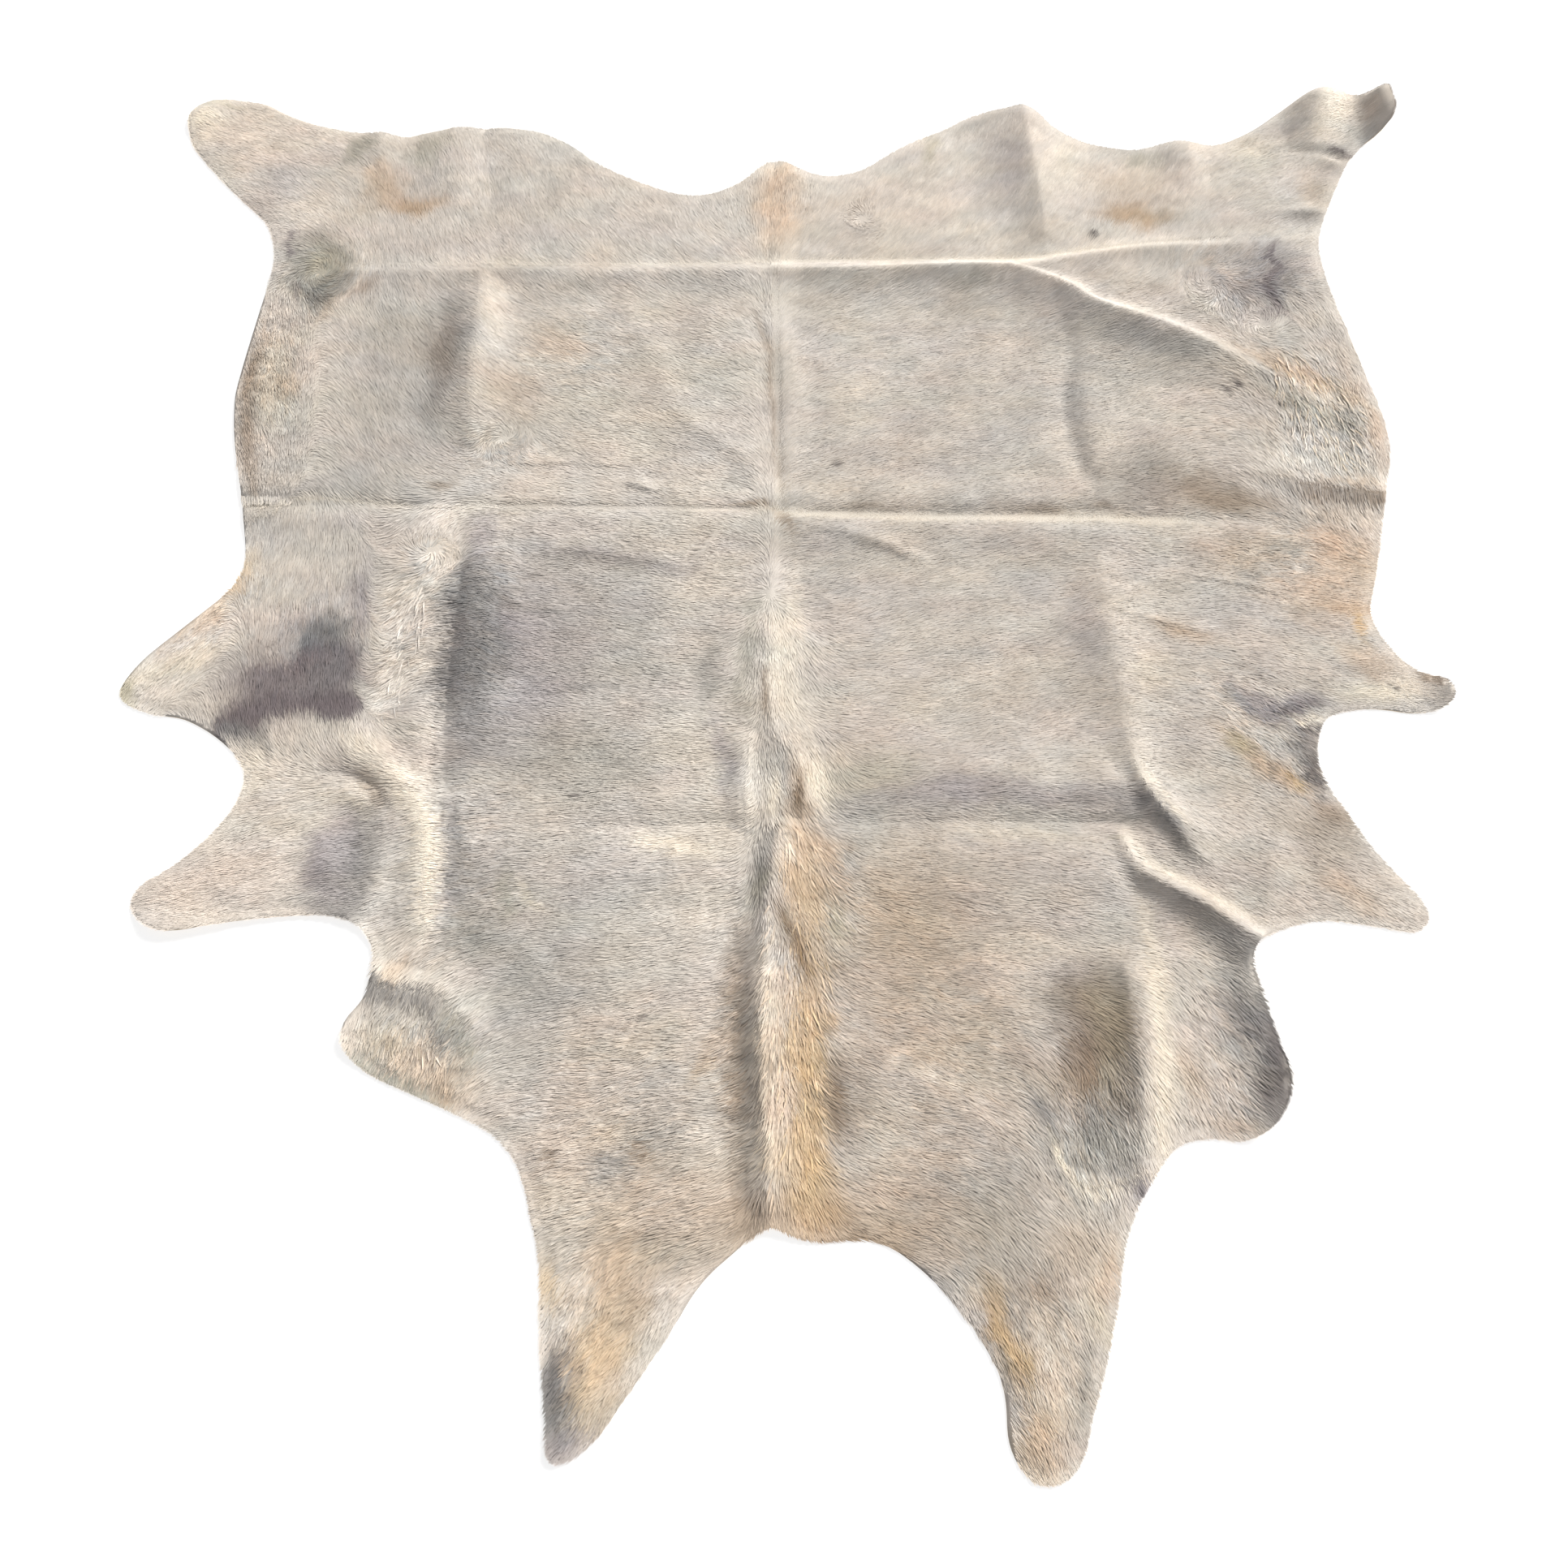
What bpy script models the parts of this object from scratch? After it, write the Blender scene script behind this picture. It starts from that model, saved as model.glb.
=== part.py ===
"""Cowhide rug: one hair-on cattle skin laid out flat, with the creases it kept from being folded for storage.

The rug lies hair side up on z = 0, neck towards -Y, rump towards +Y, with the middle of its box at the origin.
The hide is one closed sheet. Its outline is a table of sections, and its folds, ripples and curled rims are
tables of stations, from which lift() works out how high the sheet stands over the surface at any place.
Tables are in millimetres, measured across from the spine and along from the shoulder crossfold.
"""

import math

import bpy
import numpy as np
from mathutils import Vector
from mathutils.geometry import delaunay_2d_cdt

MM = 0.001

# Driving sizes in millimetres
THICKNESS = 3.0
RIM_STEP = 22.0
RIM_ROUNDING = 8.0
FINE_STEP = 4.0
LATTICE_STEP = 56.0
LATTICE_GAP = 34.0
STATION_STEP = 38.0
RAIL_SHARES = (0.26, 0.6, 1.0)
CLOSEST = 13.0
RIDGE_PINCH = 0.62
VALLEY_PINCH = 0.6

HIDE_COLOUR = (0.58, 0.53, 0.48, 1.0)
HIDE_ROUGHNESS = 0.85

# Outline, clockwise from above. Each row is a section: it runs from the end of the row before it to its own
# end, and its middle stands out from the straight line between them by the bulge, or in where that is negative.
# Columns: section, end across, end along, bulge
LEFT_HIND_LEG = (
    ("flank above foreleg", -800, 555, -2),
    ("flank, widest", -835, 725, 5),
    ("flank, upper", -817, 965, 2),
    ("waist of leg", -845, 1090, -10),
    ("leg, under side", -990, 1255, 5),
    ("foot, side", -1011, 1329, 4),
    ("foot, end", -958, 1367, 13),
    ("foot, corner", -881, 1361, 4),
    ("leg, upper side", -770, 1305, -6),
    ("inner thigh", -630, 1279, -3),
)
RUMP = (
    ("left ripple, rise", -555, 1295, 5),
    ("left ripple, top", -410, 1295, 4),
    ("left corner", -310, 1225, 7),
    ("left slope", -205, 1165, -4),
    ("left bay", -105, 1150, -11),
    ("tail slope", -25, 1205, -6),
    ("tail root, left", 3, 1226, 1),
    ("tail root, right", 80, 1190, -3),
    ("right bay", 177, 1226, -12),
    ("right slope", 292, 1297, 6),
    ("hump, rise", 405, 1338, 14),
    ("hump, fall", 467, 1307, 14),
    ("thigh bay", 619, 1250, -14),
    ("thigh ripple, rise", 680, 1262, 3),
    ("thigh ripple, fall", 750, 1260, 3),
)
RIGHT_HIND_LEG = (
    ("leg, upper side", 847, 1320, -5),
    ("foot, side", 935, 1385, 3),
    ("foot, knuckle", 987, 1395, 4),
    ("foot, notch", 1021, 1380, -3),
    ("foot, horn tip", 1052, 1376, -1),
    ("foot, horn side", 1052, 1318, 0),
    ("foot, horn foot", 1034, 1278, 5),
    ("foot, heel", 1002, 1264, -1),
    ("leg, under side", 968, 1219, 0),
    ("leg, wrinkled side", 907, 1088, -2),
    ("waist of leg", 890, 1030, -2),
)
RIGHT_FLANK = (
    ("upper", 910, 855, -5),
    ("middle", 935, 685, 0),
    ("widest", 915, 555, 9),
    ("lower", 875, 395, 1),
    ("above foreleg", 855, 335, 0),
    ("foreleg notch", 875, 270, -5),
)
RIGHT_FORELEG = (
    ("leg, upper side", 928, 223, -8),
    ("leg, tip", 940, 180, 12),
    ("leg, tip corner", 860, 172, 8),
    ("leg, under side", 767, 164, -6),
    ("armpit, upper", 741, 90, -5),
    ("armpit, lower", 769, 19, -4),
    ("brisket, upper side", 833, -89, -5),
    ("brisket, tip side", 854, -134, 4),
    ("brisket, tip", 810, -149, 10),
    ("brisket, under side", 720, -135, -1),
    ("brisket bay", 630, -162, -6),
)
RIGHT_NECK = (
    ("lobe notch", 612, -209, -9),
    ("lobe, upper side", 626, -305, 0),
    ("lobe, curled rim", 613, -399, 13),
    ("lobe, corner", 567, -420, 5),
    ("lobe, under side", 485, -430, -9),
    ("neck, upper", 437, -493, -2),
    ("neck, middle", 405, -590, -5),
    ("cheek, outer side", 355, -740, 3),
    ("cheek, tip side", 334, -787, 4),
    ("cheek, tip", 286, -789, 8),
    ("cheek, inner tip side", 265, -737, 6),
    ("cheek, inner side", 260, -680, -3),
    ("arch, side", 155, -552, -11),
    ("arch, top", 95, -532, -5),
)
LEFT_NECK = (
    ("neck edge", 2, -519, 10),
    ("neck notch", -45, -551, -4),
    ("arch, side", -105, -620, -6),
    ("cheek, inner side", -185, -735, 1),
    ("cheek, inner tip side", -225, -770, 4),
    ("cheek, tip", -246, -776, 1),
    ("cheek, tip side", -250, -735, 2),
    ("cheek, outer side", -267, -608, 2),
    ("neck, lower", -286, -511, -5),
    ("neck, middle", -311, -440, -3),
    ("neck bay", -374, -392, -7),
    ("lobe, under side", -474, -349, 0),
    ("lobe, corner", -527, -314, 4),
    ("lobe, tip", -536, -268, 6),
    ("lobe, upper side", -508, -205, -6),
)
LEFT_FORELEG = (
    ("brisket notch", -535, -143, -7),
    ("brisket bay", -590, -129, -3),
    ("brisket, under side", -745, -149, -4),
    ("brisket, tip corner", -837, -120, 17),
    ("brisket, tip", -809, -75, 10),
    ("brisket, upper side", -726, 18, -7),
    ("armpit, lower", -719, 83, -5),
    ("armpit, upper", -822, 161, -9),
    ("leg, under side", -900, 181, 4),
    ("leg, tip", -907, 223, 9),
    ("leg, tip side", -870, 276, 3),
    ("leg, upper side", -792, 360, 0),
    ("flank notch", -770, 410, -4),
)
OUTLINE = (LEFT_HIND_LEG + RUMP + RIGHT_HIND_LEG + RIGHT_FLANK + RIGHT_FORELEG + RIGHT_NECK + LEFT_NECK
           + LEFT_FORELEG)

# Ridges: the sheet stands up along a crest. Lengthwise ones run from neck to rump, the others from left to right.
# Columns: across, along, rise of the crest, width of its left face, width of its right face
RIDGES = {
    "spine, neck to shoulder": (
        (-2, -527, 8, 42, 90),
        (-6, -430, 15, 42, 90),
        (-15, -300, 19, 42, 90),
        (-14, -200, 18, 42, 85),
        (-2, -100, 15, 40, 78),
        (8, -20, 9, 36, 62),
    ),
    "spine, hump": (
        (44, 12, 5, 40, 30),
        (42, 50, 9, 50, 40),
        (36, 80, 11, 60, 50),
        (24, 104, 12, 66, 60),
        (6, 133, 12, 72, 70),
        (-4, 165, 12, 80, 76),
        (-6, 200, 12, 88, 80),
        (-6, 260, 12, 96, 84),
        (-7, 330, 11, 100, 84),
        (-10, 390, 7, 100, 84),
        (-16, 440, 3, 90, 70),
        (-20, 484, 0, 60, 60),
    ),
    "spine, left of hump": (
        (-36, 6, 5, 34, 20),
        (-38, 60, 8, 40, 24),
        (-34, 120, 6, 40, 26),
        (-30, 175, 0, 34, 26),
    ),
    "left fold, shoulder": (
        (-442, -215, 3, 84, 40),
        (-446, -190, 7, 88, 40),
        (-449, -140, 11, 90, 40),
        (-453, -95, 13, 90, 40),
        (-457, -50, 14, 90, 40),
        (-462, -10, 14, 86, 40),
        (-474, 20, 13, 80, 38),
        (-490, 48, 12, 76, 36),
        (-517, 78, 11, 70, 36),
        (-548, 112, 8, 60, 38),
        (-585, 148, 3, 50, 38),
    ),
    "left fold, loin": (
        (-462, 615, 2, 60, 50),
        (-465, 680, 17, 92, 84),
        (-465, 761, 25, 98, 90),
        (-465, 851, 25, 98, 86),
        (-466, 920, 19, 90, 70),
        (-470, 974, 6, 60, 44),
    ),
    "right fold, neck": (
        (446, -460, 11, 48, 80),
        (454, -380, 15, 50, 90),
        (456, -280, 14, 48, 90),
        (454, -215, 9, 44, 70),
        (452, -190, 2, 44, 60),
    ),
    "right fold, shoulder": (
        (494, 491, 2, 80, 90),
        (474, 404, 6, 90, 120),
        (477, 290, 10, 96, 140),
        (484, 200, 10, 92, 110),
        (488, 140, 10, 80, 70),
        (490, 90, 12, 60, 34),
        (496, 60, 15, 58, 24),
        (508, 30, 17, 70, 22),
        (526, 0, 17, 80, 22),
        (542, -22, 14, 76, 24),
        (564, -48, 7, 56, 26),
        (588, -66, 1, 36, 26),
    ),
    "right fold, rump": (
        (441, 1020, 4, 80, 80),
        (441, 1085, 13, 100, 100),
        (437, 1180, 18, 110, 110),
        (424, 1346, 19, 112, 110),
    ),
    "rump ripple, first": (
        (-674, 1300, 9, 50, 56),
        (-662, 1220, 7, 46, 52),
        (-652, 1150, 1, 40, 44),
    ),
    "rump ripple, second": (
        (-552, 1310, 7, 74, 60),
        (-545, 1220, 5, 68, 56),
        (-534, 1120, 1, 56, 44),
    ),
    "rump crossfold, left": (
        (-690, 972, 3, 36, 60),
        (-490, 971, 6, 36, 66),
        (-300, 971, 8, 36, 70),
        (-100, 973, 8, 36, 70),
        (10, 974, 10, 36, 70),
    ),
    "rump crossfold, right": (
        (10, 974, 10, 36, 70),
        (86, 971, 14, 36, 80),
        (166, 970, 18, 38, 92),
        (285, 974, 20, 38, 100),
        (384, 973, 19, 38, 104),
    ),
    "rump crossfold, upper branch": (
        (384, 973, 16, 38, 70),
        (450, 991, 8, 36, 50),
        (595, 1023, 7, 36, 50),
        (749, 1031, 4, 40, 56),
        (886, 1045, 2, 44, 56),
    ),
    "rump crossfold, lower branch": (
        (384, 973, 19, 38, 104),
        (438, 948, 21, 40, 104),
        (474, 925, 23, 44, 108),
        (503, 897, 25, 46, 114),
        (547, 875, 26, 48, 120),
        (607, 853, 24, 50, 120),
        (666, 822, 20, 52, 112),
        (741, 775, 12, 52, 100),
        (828, 722, 4, 50, 80),
    ),
    "flank fold": (
        (700, 574, 2, 50, 30),
        (763, 558, 9, 52, 28),
        (846, 538, 12, 52, 28),
        (902, 531, 13, 50, 28),
    ),
    "shoulder, lower diagonal": (
        (460, -14, 2, 16, 14),
        (466, -38, 9, 26, 20),
        (476, -62, 13, 30, 26),
        (496, -82, 17, 34, 30),
        (524, -98, 20, 36, 36),
        (576, -131, 21, 36, 50),
        (624, -168, 17, 30, 54),
    ),
    "brisket crease, right": (
        (698, 37, 1, 40, 40),
        (672, -19, 4, 44, 44),
        (652, -89, 4, 44, 44),
        (639, -150, 2, 40, 40),
    ),
    "loin diagonal": (
        (-228, 880, 1, 80, 50),
        (-181, 764, 4, 80, 50),
        (-150, 697, 5, 80, 50),
        (-112, 650, 5, 74, 48),
        (-52, 612, 3, 60, 42),
        (-30, 575, 1, 50, 36),
    ),
    "shoulder wrinkle, right": (
        (75, -285, 0, 45, 50),
        (140, -320, 3, 50, 55),
        (235, -375, 3, 50, 55),
        (310, -400, 0, 45, 50),
    ),
    "lobe wrinkle, left": (
        (-512, -214, 8, 44, 34),
        (-483, -226, 9, 44, 34),
        (-455, -228, 9, 44, 34),
        (-428, -232, 8, 44, 36),
        (-400, -258, 6, 40, 38),
        (-375, -288, 3, 40, 38),
        (-340, -320, 0, 40, 38),
    ),
    "thigh wrinkle": (
        (790, 1100, 0, 34, 28),
        (850, 1106, 4, 36, 28),
        (905, 1102, 7, 36, 28),
    ),
}

# Valleys: the crease itself touches the floor and the sheet rises a little on both sides of it.
# Columns as for the ridges, with the rise that of the shoulders
VALLEYS = {
    "spine, rump": (
        (10, 508, 3, 72, 64),
        (2, 600, 4, 110, 68),
        (-2, 784, 4, 150, 68),
        (-20, 866, 3, 140, 64),
        (-14, 950, 3, 96, 60),
        (-8, 1100, 3, 64, 64),
        (0, 1226, 5, 64, 72),
    ),
    "left fold, flank": (
        (-452, 60, 4, 64, 96),
        (-462, 180, 9, 96, 104),
        (-462, 330, 10, 104, 104),
        (-462, 430, 8, 104, 96),
        (-466, 520, 2, 80, 80),
    ),
    "left fold, rump": (
        (-452, 1010, 2, 72, 96),
        (-474, 1140, 3, 80, 104),
        (-490, 1230, 4, 80, 104),
        (-502, 1312, 4, 80, 104),
    ),
    "right fold, loin": (
        (441, 940, 1, 88, 96),
        (464, 817, 2, 112, 104),
        (448, 720, 3, 112, 104),
        (455, 625, 4, 112, 104),
        (475, 510, 3, 96, 96),
    ),
    "loin crossfold": (
        (-786, 522, 5, 72, 88),
        (-620, 516, 4, 72, 88),
        (-450, 512, 2, 72, 80),
        (-280, 510, 2, 72, 88),
        (-100, 508, 2, 72, 88),
        (10, 505, 5, 80, 96),
        (150, 501, 6, 88, 104),
        (400, 498, 7, 96, 104),
        (620, 492, 4, 88, 104),
        (800, 478, 2, 80, 80),
    ),
    "shoulder crossfold": (
        (-420, -18, 1, 90, 110),
        (-280, -6, 2, 100, 120),
        (-120, -3, 4, 110, 130),
        (0, -2, 5, 110, 150),
        (150, 0, 8, 150, 180),
        (300, 0, 12, 180, 200),
        (440, 0, 12, 170, 160),
        (480, -2, 6, 120, 90),
    ),
    "hind leg crossfold": (
        (870, 1242, 1, 50, 50),
        (925, 1240, 3, 44, 44),
        (955, 1226, 5, 40, 40),
    ),
    "left fold, elbow": (
        (-650, 82, 0, 80, 50),
        (-605, 77, 3, 90, 56),
        (-575, 69, 6, 90, 56),
        (-550, 55, 7, 84, 50),
        (-532, 36, 6, 70, 40),
        (-522, 15, 2, 50, 30),
    ),
}

# Mounds: soft rises, mostly at the rim. Columns: name, across, along, half length, half width, turn, rise
MOUNDS = (
    ("thigh ripple", 690, 1252, 120, 55, 95, 9),
    ("hind foot knuckle", 935, 1340, 120, 62, 70, 20),
    ("left hind foot", -985, 1335, 90, 50, 40, 9),
    ("left brisket flap", -590, -60, 110, 45, 100, 6),
    ("left cheek", -225, -690, 110, 45, 80, 7),
    ("right cheek", 305, -700, 120, 45, 95, 8),
    ("left flank", -800, 700, 190, 55, 92, 7),
    ("right flank", 900, 660, 150, 50, 88, 6),
)

# Curls: past its hinge line, on the right of the way from start to end, the rim turns up.
# Columns: name, start across and along, end across and along, reach to the rim, rise at the rim
CURLS = (
    ("right hind foot", (1000, 1290), (1012, 1440), 48, 40),
    ("right shoulder lobe", (560, -440), (572, -190), 66, 26),
    ("right foreleg tip", (905, 160), (900, 250), 38, 12),
    ("left cheek tip", (-275, -700), (-195, -790), 50, 10),
    ("left shoulder lobe", (-500, -160), (-500, -360), 38, 8),
)
CURL_FADE = 45.0


def section_points(start, section):
    """A section as points from its start to just before its end: a chord bowed out by its bulge."""
    _, end_across, end_along, bulge = section
    start = np.array(start, float)
    end = np.array((end_across, end_along), float)
    chord = end - start
    length = np.hypot(*chord)
    outward = np.array((-chord[1], chord[0])) / length
    count = max(2, round(length / FINE_STEP))
    t = (np.arange(count) / count)[:, None]
    return start + t * chord + 4 * t * (1 - t) * bulge * outward


def evenly(points, step, closed):
    """The polyline's points moved along it to be evenly spaced, about one step apart."""
    line = np.vstack([points, points[:1]]) if closed else points
    walked = np.concatenate([[0], np.cumsum(np.hypot(*np.diff(line[:, :2], axis=0).T))])
    count = max(2, round(walked[-1] / step))
    at = np.linspace(0, walked[-1], count + 1)
    if closed:
        at = at[:-1]
    return np.column_stack([np.interp(at, walked, column) for column in line.T])


def outline_points():
    """The rim as a closed run of points, with the corners between its sections rounded by a Gaussian."""
    start = OUTLINE[-1][1:3]
    pieces = []
    for section in OUTLINE:
        pieces.append(section_points(start, section))
        start = section[1:3]
    fine = evenly(np.vstack(pieces), FINE_STEP, closed=True)
    reach = round(3 * RIM_ROUNDING / FINE_STEP)
    offsets = np.arange(-reach, reach + 1)
    weights = np.exp(-0.5 * (offsets * FINE_STEP / RIM_ROUNDING) ** 2)
    weights /= weights.sum()
    return sum(weight * np.roll(fine, offset, axis=0) for weight, offset in zip(weights, offsets))


def eased(stations, step):
    """A fold's stations as an evenly spaced smooth run: a Catmull-Rom curve through all of its columns."""
    rows = np.array(stations, float)
    rows = np.vstack([2 * rows[0] - rows[1], rows, 2 * rows[-1] - rows[-2]])
    t = np.linspace(0, 1, 12, endpoint=False)[:, None]
    runs = []
    for a, b, c, d in zip(rows, rows[1:], rows[2:], rows[3:]):
        runs.append(0.5 * (2 * b + (c - a) * t + (2 * a - 5 * b + 4 * c - d) * t**2 + (3 * b - 3 * c + d - a) * t**3))
    runs.append(rows[-2:-1])
    return evenly(np.vstack(runs), step, closed=False)


def beside(places, run):
    """For each place: how far it is from the run, as a share of the face's width, and the crest's rise there."""
    start = run[:-1, :2]
    along = run[1:, :2] - start
    offset = places[:, None] - start
    t = np.clip((offset * along).sum(2) / (along**2).sum(1), 0, 1)
    apart = offset - t[..., None] * along
    nearest = np.hypot(apart[..., 0], apart[..., 1]).argmin(1)
    row = np.arange(len(places))
    t = t[row, nearest][:, None]
    here = run[nearest] * (1 - t) + run[nearest + 1] * t
    apart = apart[row, nearest]
    way = along[nearest]
    on_left = way[:, 0] * apart[:, 1] - way[:, 1] * apart[:, 0] > 0
    width = np.where(on_left, here[:, 3], here[:, 4])
    return np.clip(np.hypot(*apart.T) / width, 0, 1), np.maximum(here[:, 2], 0)


def ridge_lift(places, run):
    """A rounded crest that eases down to the floor on both sides."""
    share, rise = beside(places, run)
    return rise * 0.5 * (1 + np.cos(math.pi * share**RIDGE_PINCH))


def valley_lift(places, run):
    """A crease on the floor with a low shoulder on each side."""
    share, rise = beside(places, run)
    return rise * np.sin(math.pi * share**VALLEY_PINCH) ** 2


def mound_lift(places, mound):
    """A raised cosine over a turned ellipse."""
    _, across, along, half_length, half_width, turn, rise = mound
    away = places - (across, along)
    c, s = math.cos(math.radians(turn)), math.sin(math.radians(turn))
    u = (away[:, 0] * c + away[:, 1] * s) / half_length
    v = (away[:, 1] * c - away[:, 0] * s) / half_width
    share = np.clip(np.hypot(u, v), 0, 1)
    return rise * 0.5 * (1 + np.cos(math.pi * share))


def curl_lift(places, curl):
    """A rim that turns up past its hinge line, fading out beyond the line's ends."""
    _, start, end, reach, rise = curl
    start = np.array(start, float)
    way = np.array(end, float) - start
    length = np.hypot(*way)
    way /= length
    away = places - start
    along = away @ way
    past = np.clip(way[1] * away[:, 0] - way[0] * away[:, 1], 0, 1.3 * reach)
    beyond = np.clip(np.maximum(-along, along - length), 0, CURL_FADE)
    return rise * (past / reach) ** 1.7 * 0.5 * (1 + np.cos(math.pi * beyond / CURL_FADE))


def lift(places):
    """Height of the sheet's underside over the floor: its strongest ridge, and what the other shapes add."""
    highest = np.zeros(len(places))
    for stations in RIDGES.values():
        highest = np.maximum(highest, ridge_lift(places, eased(stations, STATION_STEP / 3)))
    added = np.zeros(len(places))
    for stations in VALLEYS.values():
        added = np.maximum(added, valley_lift(places, eased(stations, STATION_STEP / 3)))
    for mound in MOUNDS:
        added += mound_lift(places, mound)
    for curl in CURLS:
        added += curl_lift(places, curl)
    return highest + added


def rails(stations):
    """Points along a fold's crest and along both of its faces, so that the net follows its shape."""
    run = eased(stations, STATION_STEP)
    way = np.gradient(run[:, :2], axis=0)
    way /= np.hypot(*way.T)[:, None]
    left = np.column_stack([-way[:, 1], way[:, 0]])
    lines = [run[:, :2]]
    for share in RAIL_SHARES:
        lines.append(run[:, :2] + share * run[:, 3:4] * left)
        lines.append(run[:, :2] - share * run[:, 4:5] * left)
    return lines


def lattice(low, high):
    """Rows of points over the whole box, every other row moved by half a step."""
    row_step = LATTICE_STEP * math.sqrt(3) / 2
    rows = np.arange(low[1], high[1], row_step)
    points = []
    for number, along in enumerate(rows):
        across = np.arange(low[0] + (number % 2) * LATTICE_STEP / 2, high[0], LATTICE_STEP)
        points.append(np.column_stack([across, np.full(len(across), along)]))
    return np.vstack(points)


def inside(places, rim):
    """Whether each place is inside the rim: how many rim edges lie to its right."""
    a, b = rim, np.roll(rim, -1, axis=0)
    x, y = places[:, 0, None], places[:, 1, None]
    spans = (a[:, 1] > y) != (b[:, 1] > y)
    drop = np.where(a[:, 1] == b[:, 1], 1.0, b[:, 1] - a[:, 1])
    crossing = a[:, 0] + (y - a[:, 1]) / drop * (b[:, 0] - a[:, 0])
    return (spans & (x < crossing)).sum(1) % 2 == 1


def add_apart(kept, spots, gap):
    """Adds each spot that is further than the gap from every point kept so far."""
    for spot in spots:
        if np.hypot(*(np.array(kept) - spot).T).min() > gap:
            kept.append(spot)


def spaced_net(rim):
    """The rim's points, then inside it the folds' crests, their faces and the lattice, none crowding another."""
    lines = [rails(stations) for table in (RIDGES, VALLEYS) for stations in table.values()]
    crests = np.vstack([fold[0] for fold in lines])
    faces = np.vstack([line for fold in lines for line in fold[1:]])
    kept = list(rim)
    for spots, gap in ((crests, CLOSEST), (faces, CLOSEST), (lattice(rim.min(0), rim.max(0)), LATTICE_GAP)):
        add_apart(kept, spots[inside(spots, rim)], gap)
    return np.array(kept)


def sheet(rim, net):
    """A closed sheet: the net's triangles as its underside, again one thickness higher, and a wall at the rim."""
    loop = [(i, (i + 1) % len(rim)) for i in range(len(rim))]
    flat, _, triangles, *_ = delaunay_2d_cdt([Vector(p) for p in net], loop, [], 1, 0.01)
    places = np.array([tuple(p) for p in flat])
    under = lift(places)
    slope = np.hypot(lift(places + (1, 0)) - under, lift(places + (0, 1)) - under)
    over = under + THICKNESS * np.sqrt(1 + slope**2)
    middle = (rim.min(0) + rim.max(0)) / 2
    points = np.vstack([np.column_stack([places - middle, under]), np.column_stack([places - middle, over])]) * MM
    count = len(places)
    faces = [tuple(reversed(t)) for t in triangles]
    faces += [tuple(i + count for i in t) for t in triangles]
    faces += [(b, a, a + count, b + count) for a, b in loop]
    return points, faces


def build_hide():
    """The hide's object, with its own material."""
    rim = evenly(outline_points(), RIM_STEP, closed=True)
    points, faces = sheet(rim, spaced_net(rim))
    mesh = bpy.data.meshes.new("hide")
    mesh.from_pydata([tuple(p) for p in points], [], faces)
    mesh.validate()
    mesh.shade_smooth()
    mesh.set_sharp_from_angle(angle=math.radians(50))
    hide = bpy.data.objects.new("hide", mesh)
    bpy.context.scene.collection.objects.link(hide)
    material = bpy.data.materials.new("hair-on hide")
    material.use_nodes = True
    shader = material.node_tree.nodes["Principled BSDF"]
    shader.inputs["Base Color"].default_value = HIDE_COLOUR
    shader.inputs["Roughness"].default_value = HIDE_ROUGHNESS
    mesh.materials.append(material)


for leftover in list(bpy.data.objects):
    bpy.data.objects.remove(leftover)
build_hide()
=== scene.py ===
"""Looks of the cowhide rug: its skin, the short hair that lies on it, its longer hair, and the stage.

Tables are in millimetres, measured across from the spine and along from the shoulder crossfold, with the neck
towards -Y, the rump towards +Y and the hair side up. Headings are in degrees, anticlockwise from +X.
"""
import math

import bpy
import numpy as np
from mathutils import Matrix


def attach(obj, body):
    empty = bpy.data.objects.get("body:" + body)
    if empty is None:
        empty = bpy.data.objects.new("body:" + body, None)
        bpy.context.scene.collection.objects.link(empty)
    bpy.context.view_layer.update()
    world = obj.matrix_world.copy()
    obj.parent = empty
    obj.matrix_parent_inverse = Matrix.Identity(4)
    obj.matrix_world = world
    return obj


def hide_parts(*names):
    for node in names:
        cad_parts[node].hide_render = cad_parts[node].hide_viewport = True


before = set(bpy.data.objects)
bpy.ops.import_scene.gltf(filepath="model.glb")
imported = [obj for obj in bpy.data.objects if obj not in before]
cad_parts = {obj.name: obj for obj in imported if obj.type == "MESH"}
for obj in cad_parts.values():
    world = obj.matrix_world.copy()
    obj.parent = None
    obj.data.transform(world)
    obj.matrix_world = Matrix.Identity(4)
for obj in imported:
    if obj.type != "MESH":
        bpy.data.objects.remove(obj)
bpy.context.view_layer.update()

MM = 0.001

# Skin, in millimetres
RIM_STEP = 22.0
RIM_ROUNDING = 8.0
FINE_STEP = 4.0
STATION_STEP = 12.7
RIDGE_PINCH = 0.62
VALLEY_PINCH = 0.6
CURL_FADE = 45.0
CURL_POWER = 1.7
CURL_OVERRUN = 1.3
SKIN_THICKNESS = 2.2
SKIN_CELL = 8.4
SLOPE_STEP = 2
CHART_CELL = 4.0
CHART_MARGIN = 60.0

# Points between two stations of a fold, and places looked up at once
EASED_POINTS = 12
BATCH = 8192

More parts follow.
